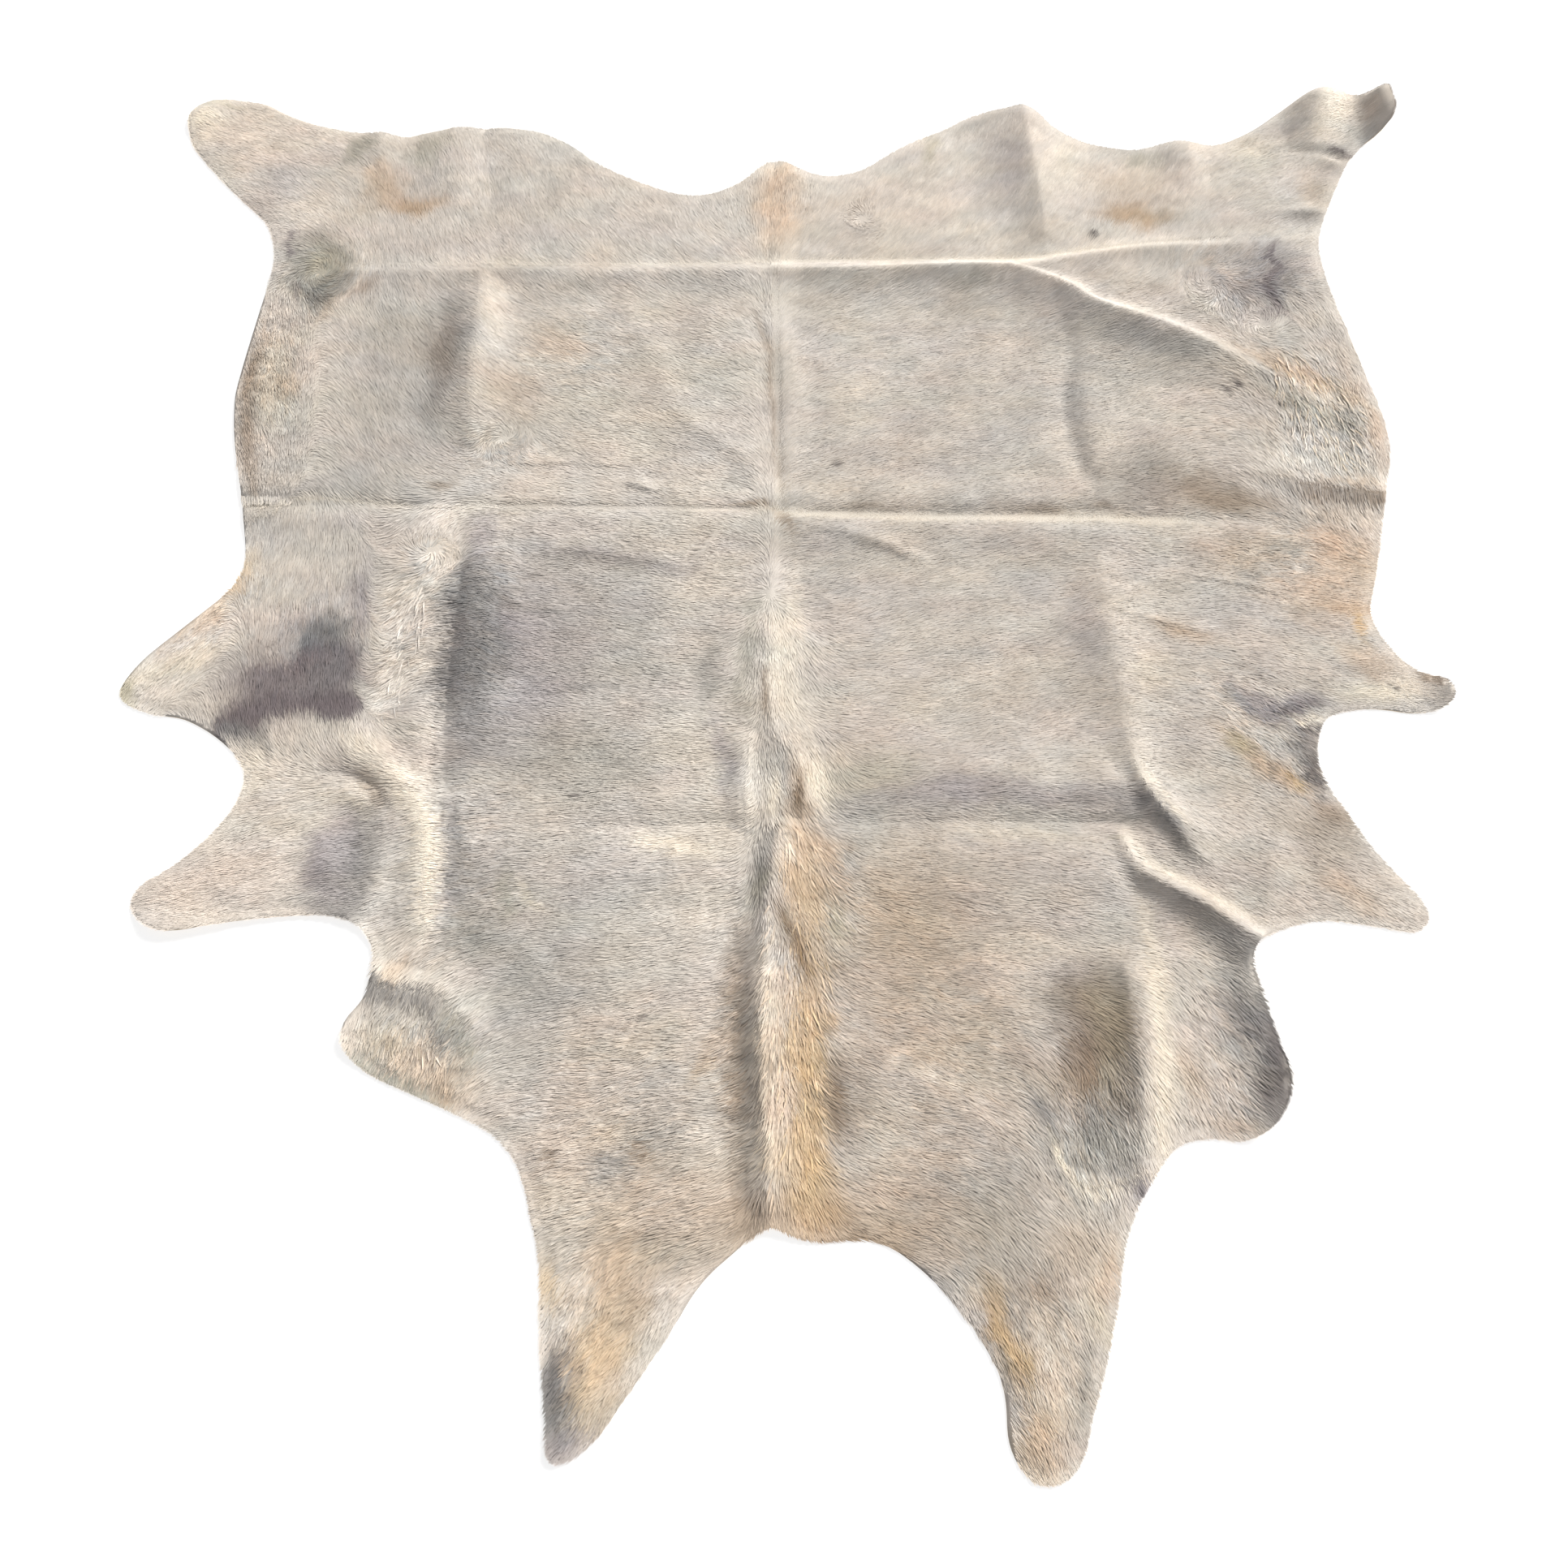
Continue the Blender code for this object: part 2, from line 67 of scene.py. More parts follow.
# Outline, clockwise from above. Each row is a section: it runs from the end of the row before it to its own
# end, and its middle stands out from the straight line between them by the bulge, or in where it is negative.
# Columns: section, end across, end along, bulge
LEFT_HIND_LEG = (
    ("flank above foreleg", -800, 555, -2),
    ("flank, widest", -835, 725, 5),
    ("flank, upper", -817, 965, 2),
    ("waist of leg", -845, 1090, -10),
    ("leg, under side", -990, 1255, 5),
    ("foot, side", -1011, 1329, 4),
    ("foot, end", -958, 1367, 13),
    ("foot, corner", -881, 1361, 4),
    ("leg, upper side", -770, 1305, -6),
    ("inner thigh", -630, 1279, -3),
)
RUMP = (
    ("left ripple, rise", -555, 1295, 5),
    ("left ripple, top", -410, 1295, 4),
    ("left corner", -310, 1225, 7),
    ("left slope", -205, 1165, -4),
    ("left bay", -105, 1150, -11),
    ("tail slope", -25, 1205, -6),
    ("tail root, left", 3, 1226, 1),
    ("tail root, right", 80, 1190, -3),
    ("right bay", 177, 1226, -12),
    ("right slope", 292, 1297, 6),
    ("hump, rise", 405, 1338, 14),
    ("hump, fall", 467, 1307, 14),
    ("thigh bay", 619, 1250, -14),
    ("thigh ripple, rise", 680, 1262, 3),
    ("thigh ripple, fall", 750, 1260, 3),
)
RIGHT_HIND_LEG = (
    ("leg, upper side", 847, 1320, -5),
    ("foot, side", 935, 1385, 3),
    ("foot, knuckle", 987, 1395, 4),
    ("foot, notch", 1021, 1380, -3),
    ("foot, horn tip", 1052, 1376, -1),
    ("foot, horn side", 1052, 1318, 0),
    ("foot, horn foot", 1034, 1278, 5),
    ("foot, heel", 1002, 1264, -1),
    ("leg, under side", 968, 1219, 0),
    ("leg, wrinkled side", 907, 1088, -2),
    ("waist of leg", 890, 1030, -2),
)
RIGHT_FLANK = (
    ("upper", 910, 855, -5),
    ("middle", 935, 685, 0),
    ("widest", 915, 555, 9),
    ("lower", 875, 395, 1),
    ("above foreleg", 855, 335, 0),
    ("foreleg notch", 875, 270, -5),
)
RIGHT_FORELEG = (
    ("leg, upper side", 928, 223, -8),
    ("leg, tip", 940, 180, 12),
    ("leg, tip corner", 860, 172, 8),
    ("leg, under side", 767, 164, -6),
    ("armpit, upper", 741, 90, -5),
    ("armpit, lower", 769, 19, -4),
    ("brisket, upper side", 833, -89, -5),
    ("brisket, tip side", 854, -134, 4),
    ("brisket, tip", 810, -149, 10),
    ("brisket, under side", 720, -135, -1),
    ("brisket bay", 630, -162, -6),
)
RIGHT_NECK = (
    ("lobe notch", 612, -209, -9),
    ("lobe, upper side", 626, -305, 0),
    ("lobe, curled rim", 613, -399, 13),
    ("lobe, corner", 567, -420, 5),
    ("lobe, under side", 485, -430, -9),
    ("neck, upper", 437, -493, -2),
    ("neck, middle", 405, -590, -5),
    ("cheek, outer side", 355, -740, 3),
    ("cheek, tip side", 334, -787, 4),
    ("cheek, tip", 286, -789, 8),
    ("cheek, inner tip side", 265, -737, 6),
    ("cheek, inner side", 260, -680, -3),
    ("arch, side", 155, -552, -11),
    ("arch, top", 95, -532, -5),
)
LEFT_NECK = (
    ("neck edge", 2, -519, 10),
    ("neck notch", -45, -551, -4),
    ("arch, side", -105, -620, -6),
    ("cheek, inner side", -185, -735, 1),
    ("cheek, inner tip side", -225, -770, 4),
    ("cheek, tip", -246, -776, 1),
    ("cheek, tip side", -250, -735, 2),
    ("cheek, outer side", -267, -608, 2),
    ("neck, lower", -286, -511, -5),
    ("neck, middle", -311, -440, -3),
    ("neck bay", -374, -392, -7),
    ("lobe, under side", -474, -349, 0),
    ("lobe, corner", -527, -314, 4),
    ("lobe, tip", -536, -268, 6),
    ("lobe, upper side", -508, -205, -6),
)
LEFT_FORELEG = (
    ("brisket notch", -535, -143, -7),
    ("brisket bay", -590, -129, -3),
    ("brisket, under side", -745, -149, -4),
    ("brisket, tip corner", -837, -120, 17),
    ("brisket, tip", -809, -75, 10),
    ("brisket, upper side", -726, 18, -7),
    ("armpit, lower", -719, 83, -5),
    ("armpit, upper", -822, 161, -9),
    ("leg, under side", -900, 181, 4),
    ("leg, tip", -907, 223, 9),
    ("leg, tip side", -870, 276, 3),
    ("leg, upper side", -792, 360, 0),
    ("flank notch", -770, 410, -4),
)
OUTLINE = (LEFT_HIND_LEG + RUMP + RIGHT_HIND_LEG + RIGHT_FLANK + RIGHT_FORELEG + RIGHT_NECK + LEFT_NECK
           + LEFT_FORELEG)

# Ridges: the sheet stands up along a crest. Each entry is a fold, from neck to rump or from left to right,
# as a run of stations. A station's columns: across, along, rise of the crest, width of its left face,
# width of its right face
RIDGES = {
    "spine, neck to shoulder": (
        (-2, -527, 8, 42, 90), (-6, -430, 15, 42, 90), (-15, -300, 19, 42, 90), (-14, -200, 18, 42, 85),
        (-2, -100, 15, 40, 78), (8, -20, 9, 36, 62),
    ),
    "spine, hump": (
        (44, 12, 5, 40, 30), (42, 50, 9, 50, 40), (36, 80, 11, 60, 50), (24, 104, 12, 66, 60),
        (6, 133, 12, 72, 70), (-4, 165, 12, 80, 76), (-6, 200, 12, 88, 80), (-6, 260, 12, 96, 84),
        (-7, 330, 11, 100, 84), (-10, 390, 7, 100, 84), (-16, 440, 3, 90, 70), (-20, 484, 0, 60, 60),
    ),
    "spine, left of hump": (
        (-36, 6, 5, 34, 20), (-38, 60, 8, 40, 24), (-34, 120, 6, 40, 26), (-30, 175, 0, 34, 26),
    ),
    "left fold, shoulder": (
        (-442, -215, 3, 84, 40), (-446, -190, 7, 88, 40), (-449, -140, 11, 90, 40), (-453, -95, 13, 90, 40),
        (-457, -50, 14, 90, 40), (-462, -10, 14, 86, 40), (-474, 20, 13, 80, 38), (-490, 48, 12, 76, 36),
        (-517, 78, 11, 70, 36), (-548, 112, 8, 60, 38), (-585, 148, 3, 50, 38),
    ),
    "left fold, loin": (
        (-462, 615, 2, 60, 50), (-465, 680, 17, 92, 84), (-465, 761, 25, 98, 90), (-465, 851, 25, 98, 86),
        (-466, 920, 19, 90, 70), (-470, 974, 6, 60, 44),
    ),
    "right fold, neck": (
        (446, -460, 11, 48, 80), (454, -380, 15, 50, 90), (456, -280, 14, 48, 90), (454, -215, 9, 44, 70),
        (452, -190, 2, 44, 60),
    ),
    "right fold, shoulder": (
        (494, 491, 2, 80, 90), (474, 404, 6, 90, 120), (477, 290, 10, 96, 140), (484, 200, 10, 92, 110),
        (488, 140, 10, 80, 70), (490, 90, 12, 60, 34), (496, 60, 15, 58, 24), (508, 30, 17, 70, 22),
        (526, 0, 17, 80, 22), (542, -22, 14, 76, 24), (564, -48, 7, 56, 26), (588, -66, 1, 36, 26),
    ),
    "right fold, rump": (
        (441, 1020, 4, 80, 80), (441, 1085, 13, 100, 100), (437, 1180, 18, 110, 110),
        (424, 1346, 19, 112, 110),
    ),
    "rump ripple, first": (
        (-674, 1300, 9, 50, 56), (-662, 1220, 7, 46, 52), (-652, 1150, 1, 40, 44),
    ),
    "rump ripple, second": (
        (-552, 1310, 7, 74, 60), (-545, 1220, 5, 68, 56), (-534, 1120, 1, 56, 44),
    ),
    "rump crossfold, left": (
        (-690, 972, 3, 36, 60), (-490, 971, 6, 36, 66), (-300, 971, 8, 36, 70), (-100, 973, 8, 36, 70),
        (10, 974, 10, 36, 70),
    ),
    "rump crossfold, right": (
        (10, 974, 10, 36, 70), (86, 971, 14, 36, 80), (166, 970, 18, 38, 92), (285, 974, 20, 38, 100),
        (384, 973, 19, 38, 104),
    ),
    "rump crossfold, upper branch": (
        (384, 973, 16, 38, 70), (450, 991, 8, 36, 50), (595, 1023, 7, 36, 50), (749, 1031, 4, 40, 56),
        (886, 1045, 2, 44, 56),
    ),
    "rump crossfold, lower branch": (
        (384, 973, 19, 38, 104), (438, 948, 21, 40, 104), (474, 925, 23, 44, 108), (503, 897, 25, 46, 114),
        (547, 875, 26, 48, 120), (607, 853, 24, 50, 120), (666, 822, 20, 52, 112), (741, 775, 12, 52, 100),
        (828, 722, 4, 50, 80),
    ),
    "flank fold": (
        (700, 574, 2, 50, 30), (763, 558, 9, 52, 28), (846, 538, 12, 52, 28), (902, 531, 13, 50, 28),
    ),
    "shoulder, lower diagonal": (
        (460, -14, 2, 16, 14), (466, -38, 9, 26, 20), (476, -62, 13, 30, 26), (496, -82, 17, 34, 30),
        (524, -98, 20, 36, 36), (576, -131, 21, 36, 50), (624, -168, 17, 30, 54),
    ),
    "brisket crease, right": (
        (698, 37, 1, 40, 40), (672, -19, 4, 44, 44), (652, -89, 4, 44, 44), (639, -150, 2, 40, 40),
    ),
    "loin diagonal": (
        (-228, 880, 1, 80, 50), (-181, 764, 4, 80, 50), (-150, 697, 5, 80, 50), (-112, 650, 5, 74, 48),
        (-52, 612, 3, 60, 42), (-30, 575, 1, 50, 36),
    ),
    "shoulder wrinkle, right": (
        (75, -285, 0, 45, 50), (140, -320, 3, 50, 55), (235, -375, 3, 50, 55), (310, -400, 0, 45, 50),
    ),
    "lobe wrinkle, left": (
        (-512, -214, 8, 44, 34), (-483, -226, 9, 44, 34), (-455, -228, 9, 44, 34), (-428, -232, 8, 44, 36),
        (-400, -258, 6, 40, 38), (-375, -288, 3, 40, 38), (-340, -320, 0, 40, 38),
    ),
    "thigh wrinkle": (
        (790, 1100, 0, 34, 28), (850, 1106, 4, 36, 28), (905, 1102, 7, 36, 28),
    ),
}

# Valleys: the crease itself touches the floor and the sheet rises a little on both sides of it.
# A station's columns are as for the ridges, with the rise that of the shoulders
VALLEYS = {
    "spine, rump": (
        (10, 508, 3, 72, 64), (2, 600, 4, 110, 68), (-2, 784, 4, 150, 68), (-20, 866, 3, 140, 64),
        (-14, 950, 3, 96, 60), (-8, 1100, 3, 64, 64), (0, 1226, 5, 64, 72),
    ),
    "left fold, flank": (
        (-452, 60, 4, 64, 96), (-462, 180, 9, 96, 104), (-462, 330, 10, 104, 104), (-462, 430, 8, 104, 96),
        (-466, 520, 2, 80, 80),
    ),
    "left fold, rump": (
        (-452, 1010, 2, 72, 96), (-474, 1140, 3, 80, 104), (-490, 1230, 4, 80, 104),
        (-502, 1312, 4, 80, 104),
    ),
    "right fold, loin": (
        (441, 940, 1, 88, 96), (464, 817, 2, 112, 104), (448, 720, 3, 112, 104), (455, 625, 4, 112, 104),
        (475, 510, 3, 96, 96),
    ),
    "loin crossfold": (
        (-786, 522, 5, 72, 88), (-620, 516, 4, 72, 88), (-450, 512, 2, 72, 80), (-280, 510, 2, 72, 88),
        (-100, 508, 2, 72, 88), (10, 505, 5, 80, 96), (150, 501, 6, 88, 104), (400, 498, 7, 96, 104),
        (620, 492, 4, 88, 104), (800, 478, 2, 80, 80),
    ),
    "shoulder crossfold": (
        (-420, -18, 1, 90, 110), (-280, -6, 2, 100, 120), (-120, -3, 4, 110, 130), (0, -2, 5, 110, 150),
        (150, 0, 8, 150, 180), (300, 0, 12, 180, 200), (440, 0, 12, 170, 160), (480, -2, 6, 120, 90),
    ),
    "hind leg crossfold": (
        (870, 1242, 1, 50, 50), (925, 1240, 3, 44, 44), (955, 1226, 5, 40, 40),
    ),
    "left fold, elbow": (
        (-650, 82, 0, 80, 50), (-605, 77, 3, 90, 56), (-575, 69, 6, 90, 56), (-550, 55, 7, 84, 50),
        (-532, 36, 6, 70, 40), (-522, 15, 2, 50, 30),
    ),
}

# Mounds: soft rises, mostly at the rim. Columns: name, across, along, half length, half width, turn, rise
MOUNDS = (
    ("thigh ripple", 690, 1252, 120, 55, 95, 9),
    ("hind foot knuckle", 935, 1340, 120, 62, 70, 20),
    ("left hind foot", -985, 1335, 90, 50, 40, 9),
    ("left brisket flap", -590, -60, 110, 45, 100, 6),
    ("left cheek", -225, -690, 110, 45, 80, 7),
    ("right cheek", 305, -700, 120, 45, 95, 8),
    ("left flank", -800, 700, 190, 55, 92, 7),
    ("right flank", 900, 660, 150, 50, 88, 6),
)

# Curls: past its hinge line, on the right of the way from start to end, the rim turns up.
# Columns: name, start across and along, end across and along, reach to the rim, rise at the rim
CURLS = (
    ("right hind foot", (1000, 1290), (1012, 1440), 48, 40),
    ("right shoulder lobe", (560, -440), (572, -190), 66, 26),
    ("right foreleg tip", (905, 160), (900, 250), 38, 12),
    ("left cheek tip", (-275, -700), (-195, -790), 50, 10),
    ("left shoulder lobe", (-500, -160), (-500, -360), 38, 8),
)

# Small wrinkles, finer than the folds. A station's columns are as for the ridges
WRINKLES = {
    "belly, upper": (
        (560, 404, 0, 14, 10), (620, 390, 2, 14, 9), (700, 372, 2, 14, 9), (760, 346, 0, 14, 10),
    ),
    "belly, lower": (
        (484, 336, 0, 12, 9), (520, 324, 2, 16, 9), (566, 310, 2, 16, 9), (640, 296, 0, 12, 9),
    ),
    "loin crease, left": (
        (-420, 592, 0, 16, 9), (-380, 593, 2, 22, 10), (-260, 591, 2, 22, 10), (-200, 586, 0, 16, 9),
    ),
    "loin pocket, left": (
        (-225, 566, 0, 20, 12), (-200, 548, 6, 24, 13), (-170, 538, 0, 20, 12),
    ),
    "loin band, left": (
        (-360, 444, 0, 34, 20), (-300, 436, 3, 36, 22), (-182, 419, 3, 36, 22), (-125, 404, 0, 30, 18),
    ),
    "loin scratch, left": (
        (-124, 398, 0, 8, 14), (-100, 434, 6, 9, 16), (-64, 488, 0, 8, 14),
    ),
    "loin crease, right": (
        (30, 480, 0, 30, 14), (110, 462, 4, 34, 16), (190, 430, 5, 34, 16), (232, 404, 0, 26, 12),
    ),
    "neck, left": (
        (-360, -150, 0, 14, 16), (-300, -200, 3, 18, 20), (-270, -260, 0, 14, 16),
    ),
}

# Parting lines, where the hair opens and its pale roots show: a narrow groove in the coat.
# A station's columns: across, along, half width, how pale
PARTINGS = {
    "loin crossfold": (
        (-786, 522, 3, 0.6), (-620, 518, 3, 0.5), (-480, 514, 3, 0.2), (-280, 514, 2.5, 0.1),
        (-60, 508, 2.5, 0.4), (20, 500, 4, 0.6), (250, 492, 5, 0.5), (420, 490, 6, 0.6), (500, 489, 5, 0.6),
        (580, 487, 4, 0.4), (620, 486, 4, 0.1),
    ),
    "rump crossfold": (
        (-690, 985, 3, 0.1), (-300, 987, 3, 0.2), (-20, 990, 3.5, 0.4), (40, 996, 3.5, 0.55),
        (260, 1000, 3.5, 0.55), (420, 999, 3.5, 0.8), (470, 1010, 3, 0.9), (600, 1030, 3, 0.5),
        (740, 1045, 3, 0.15),
    ),
    "spine": (
        (8, 520, 4, 0.4), (7, 650, 3, 0.1), (4, 800, 3, 0.1), (0, 960, 3, 0.2),
    ),
    "neck scar": (
        (332, -396, 3, 0.5), (342, -425, 4, 1.0), (362, -458, 4, 1.0), (385, -466, 4, 0.9),
        (470, -447, 3, 0.6),
    ),
}

# Depth of a parting in the coat and in the skin, how far away from it both are worked out, how much wider its
# pale roots spread, and how far away from a mark in the coat its share is worked out
GROOVE = 1.6
SKIN_GROOVE = 0.6
PARTING_REACH = 30
PALE_SPREAD = 1.5
MARK_REACH = 26

# Cockles, the soft unevenness of tanned skin: their rise, a factor across that draws them out, and the margin
# inside the rim over which they fade in. Columns of their sizes: share, size, seed
COCKLES = 1.1
COCKLE_DRAWN = 0.7
COCKLE_MARGIN = 45.0
COCKLE_SIZES = ((1.0, 90, 21), (0.5, 40, 22), (0.28, 17, 25))

# Noise over the hide. Columns: strength, strength added where the coat is uneven, a factor across that draws
# the noise out where it is under 1, size, seed
NOISE = {
    "patch edge, wide": (18, 0, 1, 75, 11),
    "patch edge, fine": (9, 0, 1, 17, 13),
    "mottle, wide": (0.05, 0, 1, 70, 15),
    "mottle, middle": (0.07, 0, 0.55, 22, 16),
    "mottle, fine": (0.05, 0, 0.55, 10, 18),
    "warmth, wide": (0.02, 0, 1, 90, 17),
    "warmth, fine": (0.02, 0, 0.55, 26, 19),
    "blush": (0.012, 0, 0.55, 34, 20),
    "mark wander": (3, 0, 1, 13, 23),
    "tuft edge": (20, 0, 1, 50, 26),
    "hair swing, wide": (9, 0, 1, 40, 31),
    "hair swing, fine": (6, 12, 1, 11, 32),
    "hair stand": (0.25, 0.35, 1, 12, 33),
    "hair streaks": (0.09, 0.2, 1, 3.2, 34),
    "hair shade": (0.04, 0, 1, 9, 35),
    "hair hue": (0.01, 0.05, 1, 4.3, 36),
    "lock swing": (10, 0, 1, 14, 72),
    "lock shade": (0.06, 0, 1, 10, 73),
}

# Cells of the noise's lattice and the shift that keeps places on it positive, then how many places up the
# hair a streak adds together, and by what the sum is divided
LATTICE = 256
LATTICE_SHIFT = 4096
STREAK_PLACES = 5
STREAK_SPREAD = 2.4


def section_points(start, section):
    """A section as points from its start to just before its end: a chord bowed out by its bulge."""
    _, end_across, end_along, bulge = section
    start = np.array(start, float)
    end = np.array((end_across, end_along), float)
    chord = end - start
    length = np.hypot(*chord)
    outward = np.array((-chord[1], chord[0])) / length
    count = max(2, round(length / FINE_STEP))
    t = (np.arange(count) / count)[:, None]
    return start + t * chord + 4 * t * (1 - t) * bulge * outward


def evenly(points, step, closed):
    """The polyline's points moved along it to be evenly spaced, about one step apart."""
    line = np.vstack([points, points[:1]]) if closed else points
    walked = np.concatenate([[0], np.cumsum(np.hypot(*np.diff(line[:, :2], axis=0).T))])
    count = max(2, round(walked[-1] / step))
    at = np.linspace(0, walked[-1], count + 1)
    if closed:
        at = at[:-1]
    return np.column_stack([np.interp(at, walked, column) for column in line.T])


def outline_points():
    """The rim as a closed run of points, with the corners between its sections rounded by a Gaussian."""
    start = OUTLINE[-1][1:3]
    pieces = []
    for section in OUTLINE:
        pieces.append(section_points(start, section))
        start = section[1:3]
    fine = evenly(np.vstack(pieces), FINE_STEP, closed=True)
    reach = round(3 * RIM_ROUNDING / FINE_STEP)
    offsets = np.arange(-reach, reach + 1)
    weights = np.exp(-0.5 * (offsets * FINE_STEP / RIM_ROUNDING) ** 2)
    weights /= weights.sum()
    return sum(weight * np.roll(fine, offset, axis=0) for weight, offset in zip(weights, offsets))


def eased(stations, step=STATION_STEP):
    """A fold's stations as an evenly spaced smooth run: a Catmull-Rom curve through all of its columns."""
    rows = np.array(stations, float)
    rows = np.vstack([2 * rows[0] - rows[1], rows, 2 * rows[-1] - rows[-2]])
    t = np.linspace(0, 1, EASED_POINTS, endpoint=False)[:, None]
    runs = []
    for a, b, c, d in zip(rows, rows[1:], rows[2:], rows[3:]):
        second = 2 * a - 5 * b + 4 * c - d
        third = 3 * b - 3 * c + d - a
        runs.append(0.5 * (2 * b + (c - a) * t + second * t**2 + third * t**3))
    runs.append(rows[-2:-1])
    return evenly(np.vstack(runs), step, closed=False)


def nearest_on(places, run):
    """For each place: its offset from the run's nearest point, the run's way there and its columns there."""
    start = run[:-1, :2]
    along = run[1:, :2] - start
    offset = places[:, None] - start
    t = np.clip((offset * along).sum(2) / (along**2).sum(1), 0, 1)
    apart = offset - t[..., None] * along
    nearest = np.hypot(apart[..., 0], apart[..., 1]).argmin(1)
    row = np.arange(len(places))
    t = t[row, nearest][:, None]
    here = run[nearest] * (1 - t) + run[nearest + 1] * t
    return apart[row, nearest], along[nearest], here


def beside(places, run):
    """For each place: how far it is from the run, as a share of the face's width, and the rise there."""
    apart, way, here = nearest_on(places, run)
    on_left = way[:, 0] * apart[:, 1] - way[:, 1] * apart[:, 0] > 0
    width = np.where(on_left, here[:, 3], here[:, 4])
    return np.clip(np.hypot(*apart.T) / width, 0, 1), np.maximum(here[:, 2], 0)


def ridge_lift(places, run):
    """A rounded crest that eases down to the floor: half its rise times 1 + cos(pi u), with u the share of
    the face's width to the power of the pinch."""
    share, rise = beside(places, run)
    return rise * 0.5 * (1 + np.cos(math.pi * share**RIDGE_PINCH))


def valley_lift(places, run):
    """A crease on the floor with a low shoulder on each side: its rise times sin(pi u) squared, with u the
    share of the face's width to the power of the pinch."""
    share, rise = beside(places, run)
    return rise * np.sin(math.pi * share**VALLEY_PINCH) ** 2


def mound_share(places, across, along, half_length, half_width, turn):
    """How far each place is from the middle of a turned ellipse, with 1 at its edge."""
    away = places - (across, along)
    c, s = math.cos(math.radians(turn)), math.sin(math.radians(turn))
    u = (away[..., 0] * c + away[..., 1] * s) / half_length
    v = (away[..., 1] * c - away[..., 0] * s) / half_width
    return np.hypot(u, v)


def curl_lift(places, curl):
    """A rim that turns up past its hinge line: its rise times (distance past the line / reach) to the curl's
    power, fading out beyond the line's ends by half of 1 + cos."""
    _, start, end, reach, rise = curl
    start = np.array(start, float)
    way = np.array(end, float) - start
    length = np.hypot(*way)
    way /= length
    away = places - start
    along = away @ way
    past = np.clip(way[1] * away[..., 0] - way[0] * away[..., 1], 0, CURL_OVERRUN * reach)
    beyond = np.clip(np.maximum(-along, along - length), 0, CURL_FADE)
    return rise * (past / reach) ** CURL_POWER * 0.5 * (1 + np.cos(math.pi * beyond / CURL_FADE))


RIM = evenly(outline_points(), RIM_STEP, closed=True)
FINE_RIM = evenly(outline_points(), FINE_STEP, closed=True)
MIDDLE = (RIM.min(0) + RIM.max(0)) / 2
LOW = RIM.min(0) - CHART_MARGIN
HIGH = RIM.max(0) + CHART_MARGIN
CHART_SIDES = [np.arange(low, high, CHART_CELL) for low, high in zip(LOW, HIGH)]
PLACES = np.stack(np.meshgrid(*CHART_SIDES), -1)


def sampled(chart, places):
    """The chart's values at places off its grid: its four nearest cells, each weighed by how near it is."""
    at = (places - LOW) / CHART_CELL
    cell = np.clip(np.floor(at).astype(int), 0, np.array(chart.shape[1::-1]) - 2)
    t = np.clip(at - cell, 0, 1)
    tx, ty = t[..., 0], t[..., 1]
    if chart.ndim > 2:
        tx, ty = tx[..., None], ty[..., None]
    i, j = cell[..., 0], cell[..., 1]
    near = chart[j, i] * (1 - tx) + chart[j, i + 1] * tx
    far = chart[j + 1, i] * (1 - tx) + chart[j + 1, i + 1] * tx
    return near * (1 - ty) + far * ty


def cloud(places, size, seed):
    """Soft noise from -1 to 1: seeded random values on a lattice of that size, eased between by 3t2 - 2t3."""
    values = np.random.default_rng(seed).uniform(-1, 1, (LATTICE, LATTICE))
    at = places / size + LATTICE_SHIFT
    cell = np.floor(at).astype(int)
    t = at - cell
    t = t * t * (3 - 2 * t)
    i, j = cell[..., 0] % LATTICE, cell[..., 1] % LATTICE
    right, above = (i + 1) % LATTICE, (j + 1) % LATTICE
    tx, ty = t[..., 0], t[..., 1]
    near = values[j, i] * (1 - tx) + values[j, right] * tx
    far = values[above, i] * (1 - tx) + values[above, right] * tx
    return near * (1 - ty) + far * ty


def noise(name, places, uneven=0, next_seed=0):
    """The named noise at places: a cloud times its strength, which grows where the coat is uneven."""
    strength, added, drawn, size, seed = NOISE[name]
    return (strength + added * uneven) * cloud(places * (drawn, 1), size, seed + next_seed)


def shift(name, places):
    """The named noise as a shift of each place across, and one with the next seed as its shift along."""
    return np.stack([noise(name, places), noise(name, places, next_seed=1)], -1)


def beside_run(chart, run, reach, measure):
    """Writes measure(places, run) into the chart's cells within reach of the run, where it is the highest."""
    low = np.floor((run[:, :2].min(0) - reach - LOW) / CHART_CELL).astype(int).clip(0)
    high = np.ceil((run[:, :2].max(0) + reach - LOW) / CHART_CELL).astype(int).clip(0)
    window = (slice(low[1], high[1]), slice(low[0], high[0]))
    places = PLACES[window]
    lifted = measure(places.reshape(-1, 2), run).reshape(places.shape[:2])
    chart[window] = np.maximum(chart[window], lifted)


